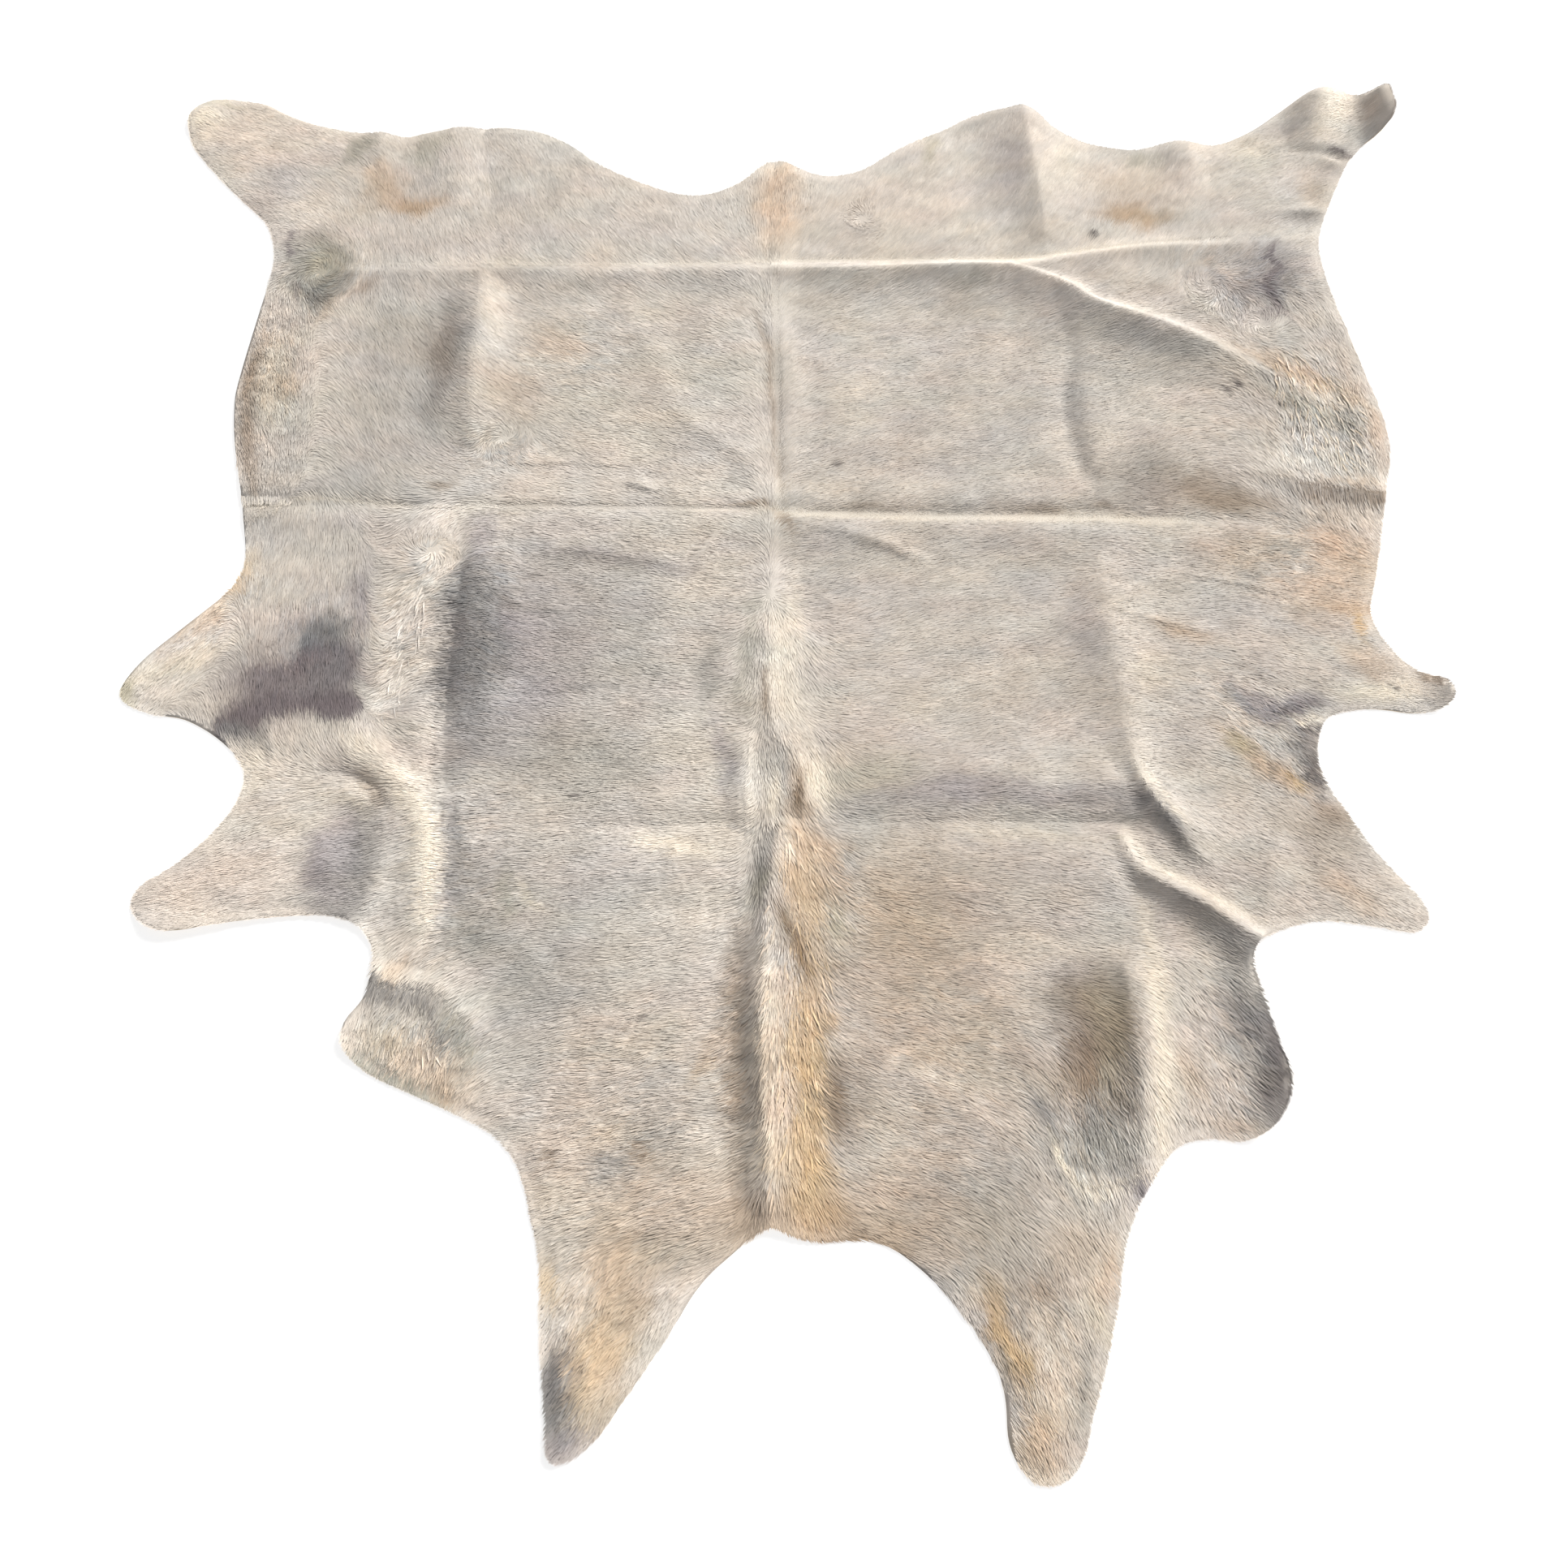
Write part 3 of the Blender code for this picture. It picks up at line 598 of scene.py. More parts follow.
def height_chart():
    """The skin's underside over the floor: the strongest ridge, valley and wrinkle, soft cockles of three
    sizes of noise, and the mounds and curls."""
    added = np.zeros(PLACES.shape[:2])
    for table, measure in ((RIDGES, ridge_lift), (VALLEYS, valley_lift), (WRINKLES, ridge_lift)):
        strongest = np.zeros(PLACES.shape[:2])
        for stations in table.values():
            run = eased(stations)
            beside_run(strongest, run, run[:, 3:].max(), measure)
        added += strongest
    drawn = PLACES * (COCKLE_DRAWN, 1)
    cockles = sum(share * (1 + cloud(drawn, size, seed)) for share, size, seed in COCKLE_SIZES)
    added += COCKLES * cockles * np.clip(DEPTH / COCKLE_MARGIN, 0, 1)
    for _, across, along, half_length, half_width, turn, rise in MOUNDS:
        share = np.clip(mound_share(PLACES, across, along, half_length, half_width, turn), 0, 1)
        added += rise * 0.5 * (1 + np.cos(math.pi * share))
    for curl in CURLS:
        added += curl_lift(PLACES, curl)
    return added


def rim_near(places):
    """For each place: its depth inside the rim, negative outside, and the rim's outward way nearest to it."""
    way = np.roll(FINE_RIM, -1, axis=0) - np.roll(FINE_RIM, 1, axis=0)
    outward = np.column_stack([-way[:, 1], way[:, 0]]) / np.hypot(*way.T)[:, None]
    flat = places.reshape(-1, 2)
    nearest = np.empty(len(flat), int)
    squares = (FINE_RIM**2).sum(1)
    for start in range(0, len(flat), BATCH):
        some = flat[start:start + BATCH]
        nearest[start:start + BATCH] = (squares - 2 * some @ FINE_RIM.T).argmin(1)
    offset = flat - FINE_RIM[nearest]
    out = (offset * outward[nearest]).sum(1)
    apart = np.hypot(*offset.T)
    depth = np.where(apart < 3 * FINE_STEP, -out, -np.sign(out) * apart)
    return depth.reshape(places.shape[:-1]), outward[nearest].reshape(places.shape)


def across_line(places, run, spread=1):
    """A Gaussian across a line, whose sigma is the half width times the spread, and the line's strength."""
    apart, _, here = nearest_on(places, run)
    return np.exp(-0.5 * (np.hypot(*apart.T) / (spread * here[:, 2])) ** 2), here[:, 3].clip(0)


def mark_share(places, run):
    """How strong a mark is at each place: its strength times the Gaussian across its wandering middle."""
    share, strength = across_line(places + shift("mark wander", places), run)
    return share * strength


def openness(places, run):
    """How open the coat is beside a parting: the Gaussian across it."""
    return across_line(places, run)[0]


def parting_share(places, run):
    """How pale the coat is beside a parting: its paleness times a wider Gaussian across it."""
    share, strength = across_line(places, run, PALE_SPREAD)
    return share * strength


def parting_charts():
    """How open the coat is at each place, from 0 to 1, and how pale its parting is."""
    opened, paleness = np.zeros(PLACES.shape[:2]), np.zeros(PLACES.shape[:2])
    for stations in PARTINGS.values():
        run = eased(stations)
        beside_run(opened, run, PARTING_REACH, openness)
        beside_run(paleness, run, PARTING_REACH, parting_share)
    return opened, paleness


DEPTH, _ = rim_near(PLACES)
HEIGHT = height_chart()
OPENED, PALENESS = parting_charts()


def linear(code):
    """An sRGB hex colour as linear red, green and blue."""
    values = np.array([int(code[i:i + 2], 16) for i in (1, 3, 5)]) / 255
    return np.where(values <= 0.04045, values / 12.92, ((values + 0.055) / 1.055) ** 2.4)


# Hair colours, also used for painted shade and painted light
COAT = {
    "pale grey": "#D7CFC6",
    "silver grey": "#E8E1D9",
    "light cream": "#F0E6D6",
    "cream": "#E3D8C5",
    "pinkish cream": "#DDCFC2",
    "peach": "#D9BEA2",
    "gold": "#D9B988",
    "tan": "#C2A583",
    "brown": "#917A62",
    "olive": "#B5AC90",
    "green grey": "#A19E91",
    "cool grey": "#A7A5A2",
    "lilac grey": "#AAA2A3",
    "stone grey": "#9C9993",
    "slate": "#878483",
    "dark lilac": "#7D7375",
    "elbow brown": "#736769",
    "near black": "#554C4B",
}

# Patches of hair colour, some of them painted shade or painted light on the faces of folds, laid over one
# another in this order on the pale grey coat.
# Columns: name, across, along, half length, half width, turn, colour, strength, softness of the edge
PATCHES = (
    ("back, left", -230, 760, 260, 230, 0, "olive", 0.14, 1.0),
    ("back, left shade", -440, 760, 240, 170, 90, "stone grey", 0.22, 1.0),
    ("fold shade, left", -600, 730, 250, 120, 90, "stone grey", 0.35, 1.0),
    ("flank, left shade", -690, 540, 150, 90, 0, "stone grey", 0.35, 1.0),
    ("rump, left shade", -420, 1130, 230, 130, 0, "stone grey", 0.12, 1.0),
    ("thigh shade, left", -600, 1150, 90, 70, 0, "stone grey", 0.3, 1.0),
    ("back, left middle", -330, 830, 70, 40, -50, "peach", 0.4, 1.0),
    ("back, left warm", -400, 730, 60, 70, 0, "tan", 0.35, 1.0),
    ("back, right", 200, 790, 250, 200, 0, "silver grey", 0.45, 1.0),
    ("back, right light", 110, 770, 200, 60, 90, "light cream", 0.3, 1.0),
    ("back, right shade", 290, 715, 60, 50, 0, "stone grey", 0.2, 1.0),
    ("rump crossfold shade, right", 280, 948, 170, 24, 0, "stone grey", 0.4, 1.0),
    # Painted light on the lit left wall of the right loin crease.
    ("back, right, painted light", 400, 640, 60, 70, 90, "silver grey", 0.5, 1.0),
    # Painted shade near where the right loin crease meets the loin crossfold.
    ("back, right corner, painted shade", 535, 565, 80, 70, 0, "slate", 0.5, 0.9),
    ("back, right of branch", 620, 700, 120, 70, -10, "silver grey", 0.4, 1.0),
    ("branch shade", 575, 835, 150, 32, -24, "slate", 0.4, 1.0),
    # Painted light on the lit north face of the rump crossfold's lower branch.
    ("branch, painted light", 600, 905, 90, 22, -25, "silver grey", 0.45, 1.0),
    ("loin, left", -250, 300, 250, 200, 90, "cool grey", 0.6, 1.0),
    ("loin, right", 260, 330, 170, 130, 0, "silver grey", 0.3, 1.0),
    ("crossfold grey, right", 130, 60, 110, 60, 0, "stone grey", 0.35, 1.0),
    ("crossfold grey, left", -240, 80, 200, 90, 0, "stone grey", 0.5, 1.0),
    ("flank grey, left", -600, 540, 160, 60, 0, "stone grey", 0.3, 1.0),
    ("shoulder, left", -250, -120, 200, 160, 90, "cool grey", 0.3, 1.0),
    ("shoulder cream, left", -130, -26, 100, 22, -12, "light cream", 0.6, 1.0),
    ("rump, left", -280, 1110, 160, 110, 0, "pinkish cream", 0.35, 1.0),
    ("rump, right", 200, 1130, 170, 110, 0, "pinkish cream", 0.4, 1.0),
    # Painted shade on the shaded south face of the left rump crossfold.
    ("rump band, left, painted shade", -380, 950, 320, 26, 0, "stone grey", 0.3, 1.0),
    ("neck, right", 190, -250, 260, 170, 90, "tan", 0.42, 1.0),
    ("neck, left", -170, -400, 260, 150, 90, "tan", 0.3, 1.0),
    ("neck foot", 60, -500, 300, 110, 0, "tan", 0.35, 1.0),
    ("neck shade, left", -290, -230, 170, 130, 60, "stone grey", 0.5, 1.0),
    ("neck shade, lower left", -150, -430, 190, 130, 90, "stone grey", 0.15, 1.0),
    ("neck shade, lower right", 230, -520, 170, 100, 0, "stone grey", 0.35, 1.0),
    ("neck column, left", -110, -330, 240, 50, 90, "stone grey", 0.3, 1.0),
    ("shoulder shade, inner", -385, -155, 80, 60, 0, "stone grey", 0.85, 1.0),
    ("lobe shade, left", -450, -250, 90, 60, 0, "stone grey", 0.45, 1.0),
    ("arch shade, left", -100, -545, 90, 50, 0, "stone grey", 0.5, 1.0),
    ("cheek shade, left", -205, -725, 110, 60, 75, "stone grey", 0.5, 1.0),
    ("neck warmth, lower", 100, -530, 330, 70, 0, "tan", 0.3, 1.0),
    ("hind leg, left", -880, 1280, 140, 90, -20, "pinkish cream", 0.5, 0.7),
    ("hind foot, left", -975, 1312, 84, 52, 60, "light cream", 1.0, 0.8),
    ("hind foot rim, left", -945, 1372, 70, 12, -8, "olive", 0.4, 0.9),
    ("hind leg fold, left", -830, 1140, 80, 50, 90, "lilac grey", 0.25, 0.9),
    ("thigh, peach", -650, 1175, 60, 40, 80, "peach", 0.6, 0.9),
    ("thigh, tan", -597, 1118, 68, 28, 6, "tan", 0.7, 0.9),
    ("thigh, streak", -600, 1112, 30, 8, 0, "brown", 0.6, 0.9),
    ("thigh, warm side", -650, 1130, 60, 40, 20, "tan", 0.4, 1.0),
    # The next three rows are painted shade on the shaded left faces of the two rump ripples.
    ("thigh, first ripple, painted shade", -702, 1245, 50, 22, 70, "green grey", 0.6, 0.8),
    ("thigh, second ripple, painted shade", -588, 1245, 52, 34, 85, "green grey", 0.55, 0.8),
    ("thigh, lilac painted shade", -575, 1180, 50, 26, 80, "lilac grey", 0.15, 0.9),
    # Pale hair with painted light on the second rump ripple's lit right face.
    ("thigh, cream strip and painted light", -505, 1190, 130, 30, 96, "silver grey", 0.6, 0.9),
    ("whorl edge, left", -733, 964, 80, 64, 95, "light cream", 0.35, 0.5),
    ("whorl, left", -738, 972, 84, 60, 95, "stone grey", 0.8, 0.6),
    ("whorl shade, left", -752, 925, 34, 20, 90, "slate", 0.5, 0.9),
    ("whorl rim, left", -780, 1022, 30, 7, 92, "dark lilac", 0.85, 0.7),
    ("whorl tan, left", -728, 985, 44, 30, 90, "olive", 0.4, 1.0),
    ("whorl hook, left", -778, 945, 34, 8, 80, "dark lilac", 0.5, 0.7),
    ("whorl foot, left", -722, 892, 30, 16, 100, "brown", 0.5, 0.9),
    ("whorl fringe, left", -668, 918, 46, 18, 40, "brown", 0.45, 0.9),
    ("whorl side, left", -818, 960, 70, 26, 92, "lilac grey", 0.2, 0.9),
    ("flank band, left", -800, 890, 45, 20, 0, "lilac grey", 0.3, 0.8),
    ("flank, left", -795, 770, 130, 42, 92, "olive", 0.35, 0.9),
    ("flank tan, left", -775, 745, 55, 30, 30, "tan", 0.25, 0.9),
    # Painted shade along the left flank's rim, which faces away from the key light.
    ("flank edge, left, painted shade", -822, 760, 110, 20, 91, "brown", 0.25, 0.9),
    ("flank cream, left", -690, 700, 110, 40, 95, "cream", 0.1, 1.0),
    ("flank grey, upper left", -735, 690, 110, 60, 90, "stone grey", 0.3, 1.0),
    ("fold, lilac", -590, 850, 130, 60, 90, "stone grey", 0.2, 1.0),
    # The next two rows are dark and brown hair with painted shade on the left loin fold's shaded left face.
    ("fold, dark hair and painted shade", -518, 800, 180, 44, 90, "slate", 0.6, 0.9),
    ("fold, brown hair and painted shade", -520, 790, 150, 34, 90, "brown", 0.3, 0.9),
    # Cream hair with painted light on the left loin fold's lit right face.
    ("fold, cream hair and painted light", -446, 850, 150, 30, 90, "light cream", 0.3, 0.9),
    ("elbow halo, left", -700, 280, 140, 54, 42, "lilac grey", 0.5, 0.9),
    ("elbow shade, left", -590, 335, 95, 40, 80, "lilac grey", 0.75, 0.9),
    ("elbow tip, left", -646, 280, 56, 48, 84, "slate", 0.95, 0.7),
    ("elbow, left", -630, 222, 78, 56, 14, "dark lilac", 0.95, 0.6),
    ("elbow base, left", -640, 176, 90, 20, 2, "dark lilac", 0.95, 0.4),
    ("elbow tail, left", -722, 150, 52, 22, 18, "dark lilac", 0.9, 0.5),
    ("elbow slope, left", -690, 218, 86, 34, 46, "dark lilac", 0.9, 0.65),
    ("elbow notch, left", -735, 135, 34, 22, -40, "dark lilac", 0.7, 0.7),
    ("elbow haze, left", -745, 205, 50, 20, 44, "lilac grey", 0.45, 0.9),
    ("elbow rim, left", -722, 122, 42, 18, -30, "slate", 0.8, 0.6),
    ("elbow heart, left", -630, 215, 70, 44, 14, "slate", 0.4, 0.9),
    ("loin haze, left", -345, 270, 240, 125, 90, "lilac grey", 0.8, 1.0),
    ("loin grey, left", -415, 315, 140, 66, 84, "slate", 0.95, 0.7),
    ("loin column, left", -445, 270, 90, 14, 88, "dark lilac", 0.6, 0.9),
    ("loin lilac, upper", -415, 450, 50, 26, 90, "lilac grey", 0.7, 0.9),
    ("loin lilac, side", -370, 310, 80, 16, 90, "lilac grey", 0.6, 0.9),
    ("fluffy foot grey", -465, 205, 50, 22, 0, "slate", 0.5, 0.9),
    ("loin grey, lower", -418, 215, 130, 64, 90, "slate", 0.95, 0.8),
    ("loin grey, foot", -400, 110, 90, 66, 90, "slate", 0.65, 1.0),
    ("loin strand, upper", -310, 335, 110, 9, -3, "slate", 0.5, 1.0),
    ("loin strand, middle", -290, 215, 120, 10, -4, "slate", 0.5, 1.0),
    ("loin strand, lower", -310, 130, 110, 9, -3, "slate", 0.45, 1.0),
    ("loin band, left", -210, 430, 150, 20, -10, "lilac grey", 0.45, 1.0),
    ("fluffy band, top", -492, 470, 80, 26, 80, "silver grey", 0.4, 0.7),
    ("fluffy band, left", -520, 300, 115, 24, 86, "silver grey", 0.8, 0.8),
    ("fluffy band, foot", -530, 205, 52, 26, 60, "silver grey", 0.85, 0.6),
    ("foreleg gold, left", -768, 385, 50, 26, 60, "gold", 0.5, 0.9),
    ("foreleg peach, left", -800, 345, 70, 24, 45, "peach", 0.4, 0.9),
    ("foreleg, left", -830, 260, 80, 30, 38, "cream", 0.6, 0.8),
    ("foreleg rim, left", -862, 288, 70, 9, 42, "tan", 0.4, 0.9),
    ("foreleg tip, left", -892, 208, 28, 24, 30, "olive", 0.65, 0.8),
    ("brisket, left", -750, -60, 110, 75, 0, "pinkish cream", 0.5, 0.9),
    ("brisket cream, left", -715, 75, 55, 40, 20, "light cream", 0.7, 0.8),
    ("brisket dark, left", -570, 100, 50, 30, -40, "lilac grey", 0.3, 0.9),
    ("brisket lilac, left", -556, -42, 100, 46, 88, "lilac grey", 0.9, 0.7),
    ("brisket deep lilac, left", -548, -92, 62, 34, 84, "slate", 0.35, 0.9),
    ("brisket edge, left", -530, -40, 95, 16, 86, "slate", 0.5, 0.9),
    ("brisket silver, left", -494, -60, 90, 16, 86, "silver grey", 0.5, 0.9),
    ("brisket notch, left", -515, -135, 26, 20, 90, "stone grey", 0.45, 0.9),
    ("shoulder lilac, left", -428, -60, 130, 20, 86, "lilac grey", 0.85, 0.9),
    ("shoulder slate, left", -390, -75, 75, 62, 0, "slate", 0.45, 1.0),
    ("shoulder blotch, left", -340, -98, 46, 17, 86, "green grey", 0.7, 0.9),
    ("shoulder streak, left", -306, -88, 36, 8, -60, "cream", 0.6, 0.9),
    ("shoulder green, left", -496, -100, 90, 18, 88, "silver grey", 0.5, 1.0),
    ("lobe, left", -415, -325, 84, 44, -22, "tan", 0.45, 0.9),
    ("lobe olive, left", -470, -290, 60, 30, 0, "olive", 0.25, 1.0),
    ("lobe green, left", -392, -278, 60, 20, -50, "green grey", 0.7, 0.9),
    ("lobe pink, left", -405, -351, 24, 14, -30, "peach", 0.7, 0.9),
    ("lobe peach, left", -465, -202, 34, 14, 0, "peach", 0.45, 0.9),
    ("lobe silver, left", -530, -295, 26, 30, 90, "silver grey", 0.7, 0.8),
    ("lobe rim shade, left", -476, -334, 70, 14, -23, "stone grey", 0.6, 0.9),
    ("cheek, left", -190, -620, 130, 56, 80, "tan", 0.4, 0.9),
    ("cheek gold, left", -190, -660, 110, 56, 76, "gold", 0.4, 0.9),
    ("cheek tan, left", -170, -590, 120, 60, 80, "tan", 0.4, 0.9),
    ("cheek olive gold, left", -252, -575, 40, 18, 90, "gold", 0.5, 0.9),
    ("cheek cool, left", -175, -457, 44, 40, 60, "cool grey", 0.6, 1.0),
    ("cheek slate, left", -236, -700, 80, 38, 86, "slate", 0.9, 0.7),
    ("cheek tip, left", -212, -762, 56, 32, 40, "lilac grey", 0.7, 0.9),
    ("cheek shade, lower left", -165, -610, 70, 60, 0, "stone grey", 0.25, 1.0),
    ("cheek corner, left", -215, -752, 40, 24, 20, "slate", 0.6, 0.9),
    ("cheek gold, right", 300, -740, 70, 40, 90, "gold", 0.3, 0.9),
    ("cheek tan, right", 292, -600, 70, 46, 70, "brown", 0.4, 0.9),
    ("cheek streak, right", 266, -628, 62, 22, 100, "brown", 0.5, 0.8),
    ("cheek streak gold, right", 268, -632, 66, 20, 100, "gold", 0.6, 0.9),
    ("cheek warmth, right", 320, -690, 110, 60, 85, "peach", 0.4, 1.0),
    ("cheek warmth, upper right", 350, -560, 90, 60, 90, "tan", 0.25, 1.0),
    ("cheek side, right", 250, -586, 40, 28, 60, "tan", 0.5, 0.9),
    ("cheek brown, right", 320, -590, 34, 24, 0, "brown", 0.5, 0.9),
    ("cheek foot, right", 305, -735, 60, 36, 95, "peach", 0.4, 0.9),
    ("neck rim, right", 382, -610, 80, 22, 100, "cream", 0.6, 0.9),
    ("neck patch, right", 396, -295, 120, 62, 84, "slate", 0.55, 0.7),
    ("neck patch brown, right", 392, -300, 110, 58, 84, "brown", 0.65, 0.8),
    ("neck patch olive, right", 412, -290, 100, 40, 84, "olive", 0.35, 0.9),
    ("neck patch spot, right", 362, -328, 44, 34, 80, "brown", 0.6, 0.8),
    ("neck patch grey, right", 388, -412, 70, 60, 90, "stone grey", 0.7, 0.8),
    ("neck patch cool, right", 365, -440, 50, 34, 0, "cool grey", 0.5, 1.0),
    ("neck lilac, right", 430, -462, 34, 20, 0, "lilac grey", 0.8, 0.9),
    ("neck band, right", 315, -325, 120, 22, -58, "brown", 0.3, 0.9),
    ("neck tan, right", 392, -560, 60, 24, 95, "peach", 0.5, 0.9),
    ("lobe band, right", 480, -290, 130, 24, 92, "light cream", 0.4, 0.9),
    # The next two rows are dark hair with painted shade where the right lobe's rim curls up away from the key
    # light.
    ("lobe rim, right, dark hair and painted shade", 604, -285, 130, 46, 104, "slate", 0.75, 0.8),
    ("lobe rim brown, right, with painted shade", 614, -335, 80, 32, 100, "elbow brown", 0.45, 0.8),
    ("lobe, right", 540, -325, 110, 44, 90, "pinkish cream", 0.5, 0.9),
    ("lobe peach, right", 515, -340, 50, 22, 90, "peach", 0.4, 0.9),
    ("lobe foot, right", 560, -395, 50, 20, 0, "peach", 0.35, 0.9),
    ("crest, tan", 42, -310, 260, 38, 90, "tan", 0.4, 0.9),
    ("crest, light fan", 40, -60, 70, 30, 100, "light cream", 0.3, 0.9),
    ("crest, fan top", 55, -20, 60, 30, 0, "peach", 0.6, 0.9),
    ("crest, gold fan", 26, -52, 110, 36, 94, "peach", 0.65, 0.8),
    ("crest, fan light", 32, -60, 90, 30, 94, "light cream", 0.3, 1.0),
    ("crest, fan tan", 70, -70, 60, 24, 98, "tan", 0.35, 1.0),
    ("crest, fan gold", 34, -90, 90, 26, 94, "gold", 0.4, 0.9),
    ("crest, gold side", 46, -345, 190, 34, 90, "gold", 0.6, 0.9),
    ("crest, gold foot", 34, -455, 74, 46, 90, "gold", 0.5, 0.9),
    ("crest, cream column", 4, -340, 190, 20, 90, "peach", 0.4, 0.9),
    ("crest, foot brown", 64, -488, 46, 28, 90, "tan", 0.5, 1.0),
    ("crest, cream", -2, -300, 220, 12, 90, "cream", 0.4, 0.8),
    ("crest, right shade", 78, -345, 72, 16, 88, "brown", 0.85, 0.9),
    ("crest, head cream", 6, -45, 60, 11, 92, "light cream", 0.6, 0.9),
    # Painted shade beside the crest's right edge, next to its right shade.
    ("crest, right pocket, painted shade", 100, -372, 50, 26, 80, "brown", 0.4, 1.0),
    ("crest, far side", 155, -345, 60, 34, 90, "pale grey", 0.4, 1.0),
    ("crest, warm side", 165, -120, 120, 90, 90, "tan", 0.35, 1.0),
    ("crest, tan spots", -66, -325, 44, 12, 80, "tan", 0.6, 1.0),
    ("crest, green side", 70, -120, 40, 14, 100, "olive", 0.5, 1.0),
    ("crest, green pocket", 12, -132, 30, 12, 90, "olive", 0.5, 1.0),
    ("crest, cream side", -95, -280, 110, 26, 84, "pinkish cream", 0.5, 1.0),
    ("neck streak, right", 187, -336, 62, 9, -26, "light cream", 0.6, 1.0),
    ("hump, green side", -27, 270, 160, 13, 90, "green grey", 0.55, 1.0),
    ("hump, left shade", -56, 95, 90, 16, 90, "lilac grey", 0.7, 0.9),
    ("hump, peach foot", 28, 70, 70, 34, 95, "peach", 0.5, 0.9),
    ("hump, cream", 14, 290, 200, 28, 92, "light cream", 0.5, 0.8),
    ("hump, left grey", -72, 240, 100, 26, 90, "stone grey", 0.5, 0.9),
    ("hump, cream foot", 54, 90, 70, 22, 108, "light cream", 0.6, 0.8),
    # Painted shade in the hollow at the foot of the hump.
    ("hump, painted shade in hollow", 33, 40, 22, 8, -60, "brown", 0.6, 0.9),
    ("hump, cream branch", -18, 55, 60, 14, 92, "cream", 0.4, 0.9),
    ("shoulder olive, right", 120, 90, 110, 46, 0, "olive", 0.35, 1.0),
    ("shoulder shade, right", 280, 40, 210, 30, 2, "lilac grey", 0.7, 1.0),
    # Painted shade at the end of the right shoulder crossfold.
    ("shoulder pocket, right, painted shade", 448, 34, 62, 26, -4, "slate", 0.6, 1.0),
    ("shoulder cream, right", 330, -26, 150, 18, -5, "light cream", 0.55, 1.0),
    ("shoulder olive pocket, right", 434, -19, 18, 6, 0, "olive", 0.6, 1.0),
    # Painted shade in the valley between the right shoulder folds.
    ("shoulder valley, right, painted shade", 508, -4, 72, 24, -52, "slate", 0.75, 0.9),
    ("shoulder diagonal shade", 572, -150, 80, 30, -38, "slate", 0.5, 1.0),
    ("shoulder fold shade, right", 432, 290, 110, 34, 94, "lilac grey", 0.4, 1.0),
    ("flank light, right", 830, 625, 120, 46, 5, "silver grey", 0.8, 1.0),
    ("flank peach, right", 812, 765, 125, 27, -32, "peach", 0.65, 0.9),
    ("flank green, right", 806, 710, 115, 20, -30, "green grey", 0.5, 0.9),
    ("flank rim, right", 905, 680, 120, 24, 95, "peach", 0.5, 0.9),
    ("flank crest, right", 862, 572, 60, 12, -10, "peach", 0.5, 0.9),
    ("flank shade, right", 650, 542, 140, 38, -4, "brown", 0.7, 0.9),
    ("flank gold, right", 825, 440, 80, 120, 0, "peach", 0.75, 1.0),
    ("belly tan, right", 680, 440, 120, 60, 10, "tan", 0.4, 1.0),
    ("belly peach, right", 770, 350, 110, 50, -12, "peach", 0.55, 1.0),
    ("belly gold, right", 838, 315, 40, 12, 100, "gold", 0.8, 0.9),
    ("belly tint, right", 565, 292, 66, 22, -12, "tan", 0.5, 1.0),
    ("whorl, right", 775, 965, 120, 85, 0, "lilac grey", 0.7, 0.9),
    ("whorl heart, right", 785, 950, 74, 54, 60, "slate", 0.25, 1.0),
    ("whorl cream, right", 690, 900, 60, 50, 90, "cream", 0.3, 0.9),
    ("whorl side, right", 830, 952, 50, 30, 90, "pale grey", 0.5, 1.0),
    ("elbow lilac, right", 700, 195, 85, 28, -12, "lilac grey", 0.9, 0.8),
    ("elbow dark, right", 724, 180, 34, 16, -6, "dark lilac", 0.8, 0.8),
    ("elbow purple, right", 660, 196, 50, 14, -4, "slate", 0.4, 1.0),
    ("elbow gold, right", 672, 106, 90, 24, -34, "tan", 0.6, 0.9),
    ("elbow orange, right", 716, 80, 30, 14, -30, "gold", 0.6, 0.9),
    ("armpit slate, right", 722, 132, 26, 26, 0, "slate", 0.75, 0.9),
    ("armpit brown, right", 745, 12, 60, 26, -62, "brown", 0.55, 0.9),
    ("armpit gold, right", 715, 74, 22, 20, 0, "gold", 0.6, 0.9),
    ("armpit olive, right", 640, 130, 34, 20, -20, "olive", 0.7, 0.9),
    ("brisket shade, right", 725, -10, 100, 56, 115, "brown", 0.4, 0.9),
    ("brisket peach, right", 760, -100, 60, 26, -30, "peach", 0.4, 0.9),
    ("foreleg, right", 840, 205, 80, 34, 0, "light cream", 0.9, 0.9),
    ("foreleg peach, right", 830, 262, 70, 34, -35, "peach", 0.5, 0.9),
    ("foreleg tip, right", 920, 222, 26, 11, -25, "brown", 0.7, 0.8),
    ("thigh halo, right", 590, 1150, 100, 80, 0, "peach", 0.35, 1.0),
    ("thigh tan, right", 590, 1092, 88, 32, 0, "tan", 0.75, 1.0),
    ("thigh brown, right", 580, 1096, 60, 22, 0, "brown", 0.25, 1.0),
    ("thigh lower, right", 600, 1250, 70, 50, 0, "stone grey", 0.5, 1.0),
    # Cream hair with painted light on the right rump fold's lit right face.
    ("thigh cream, right, and painted light", 490, 1230, 95, 44, 80, "light cream", 0.4, 0.9),
    # Painted shade on the right rump fold's shaded left face.
    ("rump lilac, right, painted shade", 385, 1180, 95, 40, 92, "lilac grey", 0.4, 0.9),
    ("hump shade, right", 335, 1305, 50, 30, 20, "stone grey", 0.4, 1.0),
    ("belly warm, right", 530, 215, 60, 46, 0, "cream", 0.5, 1.0),
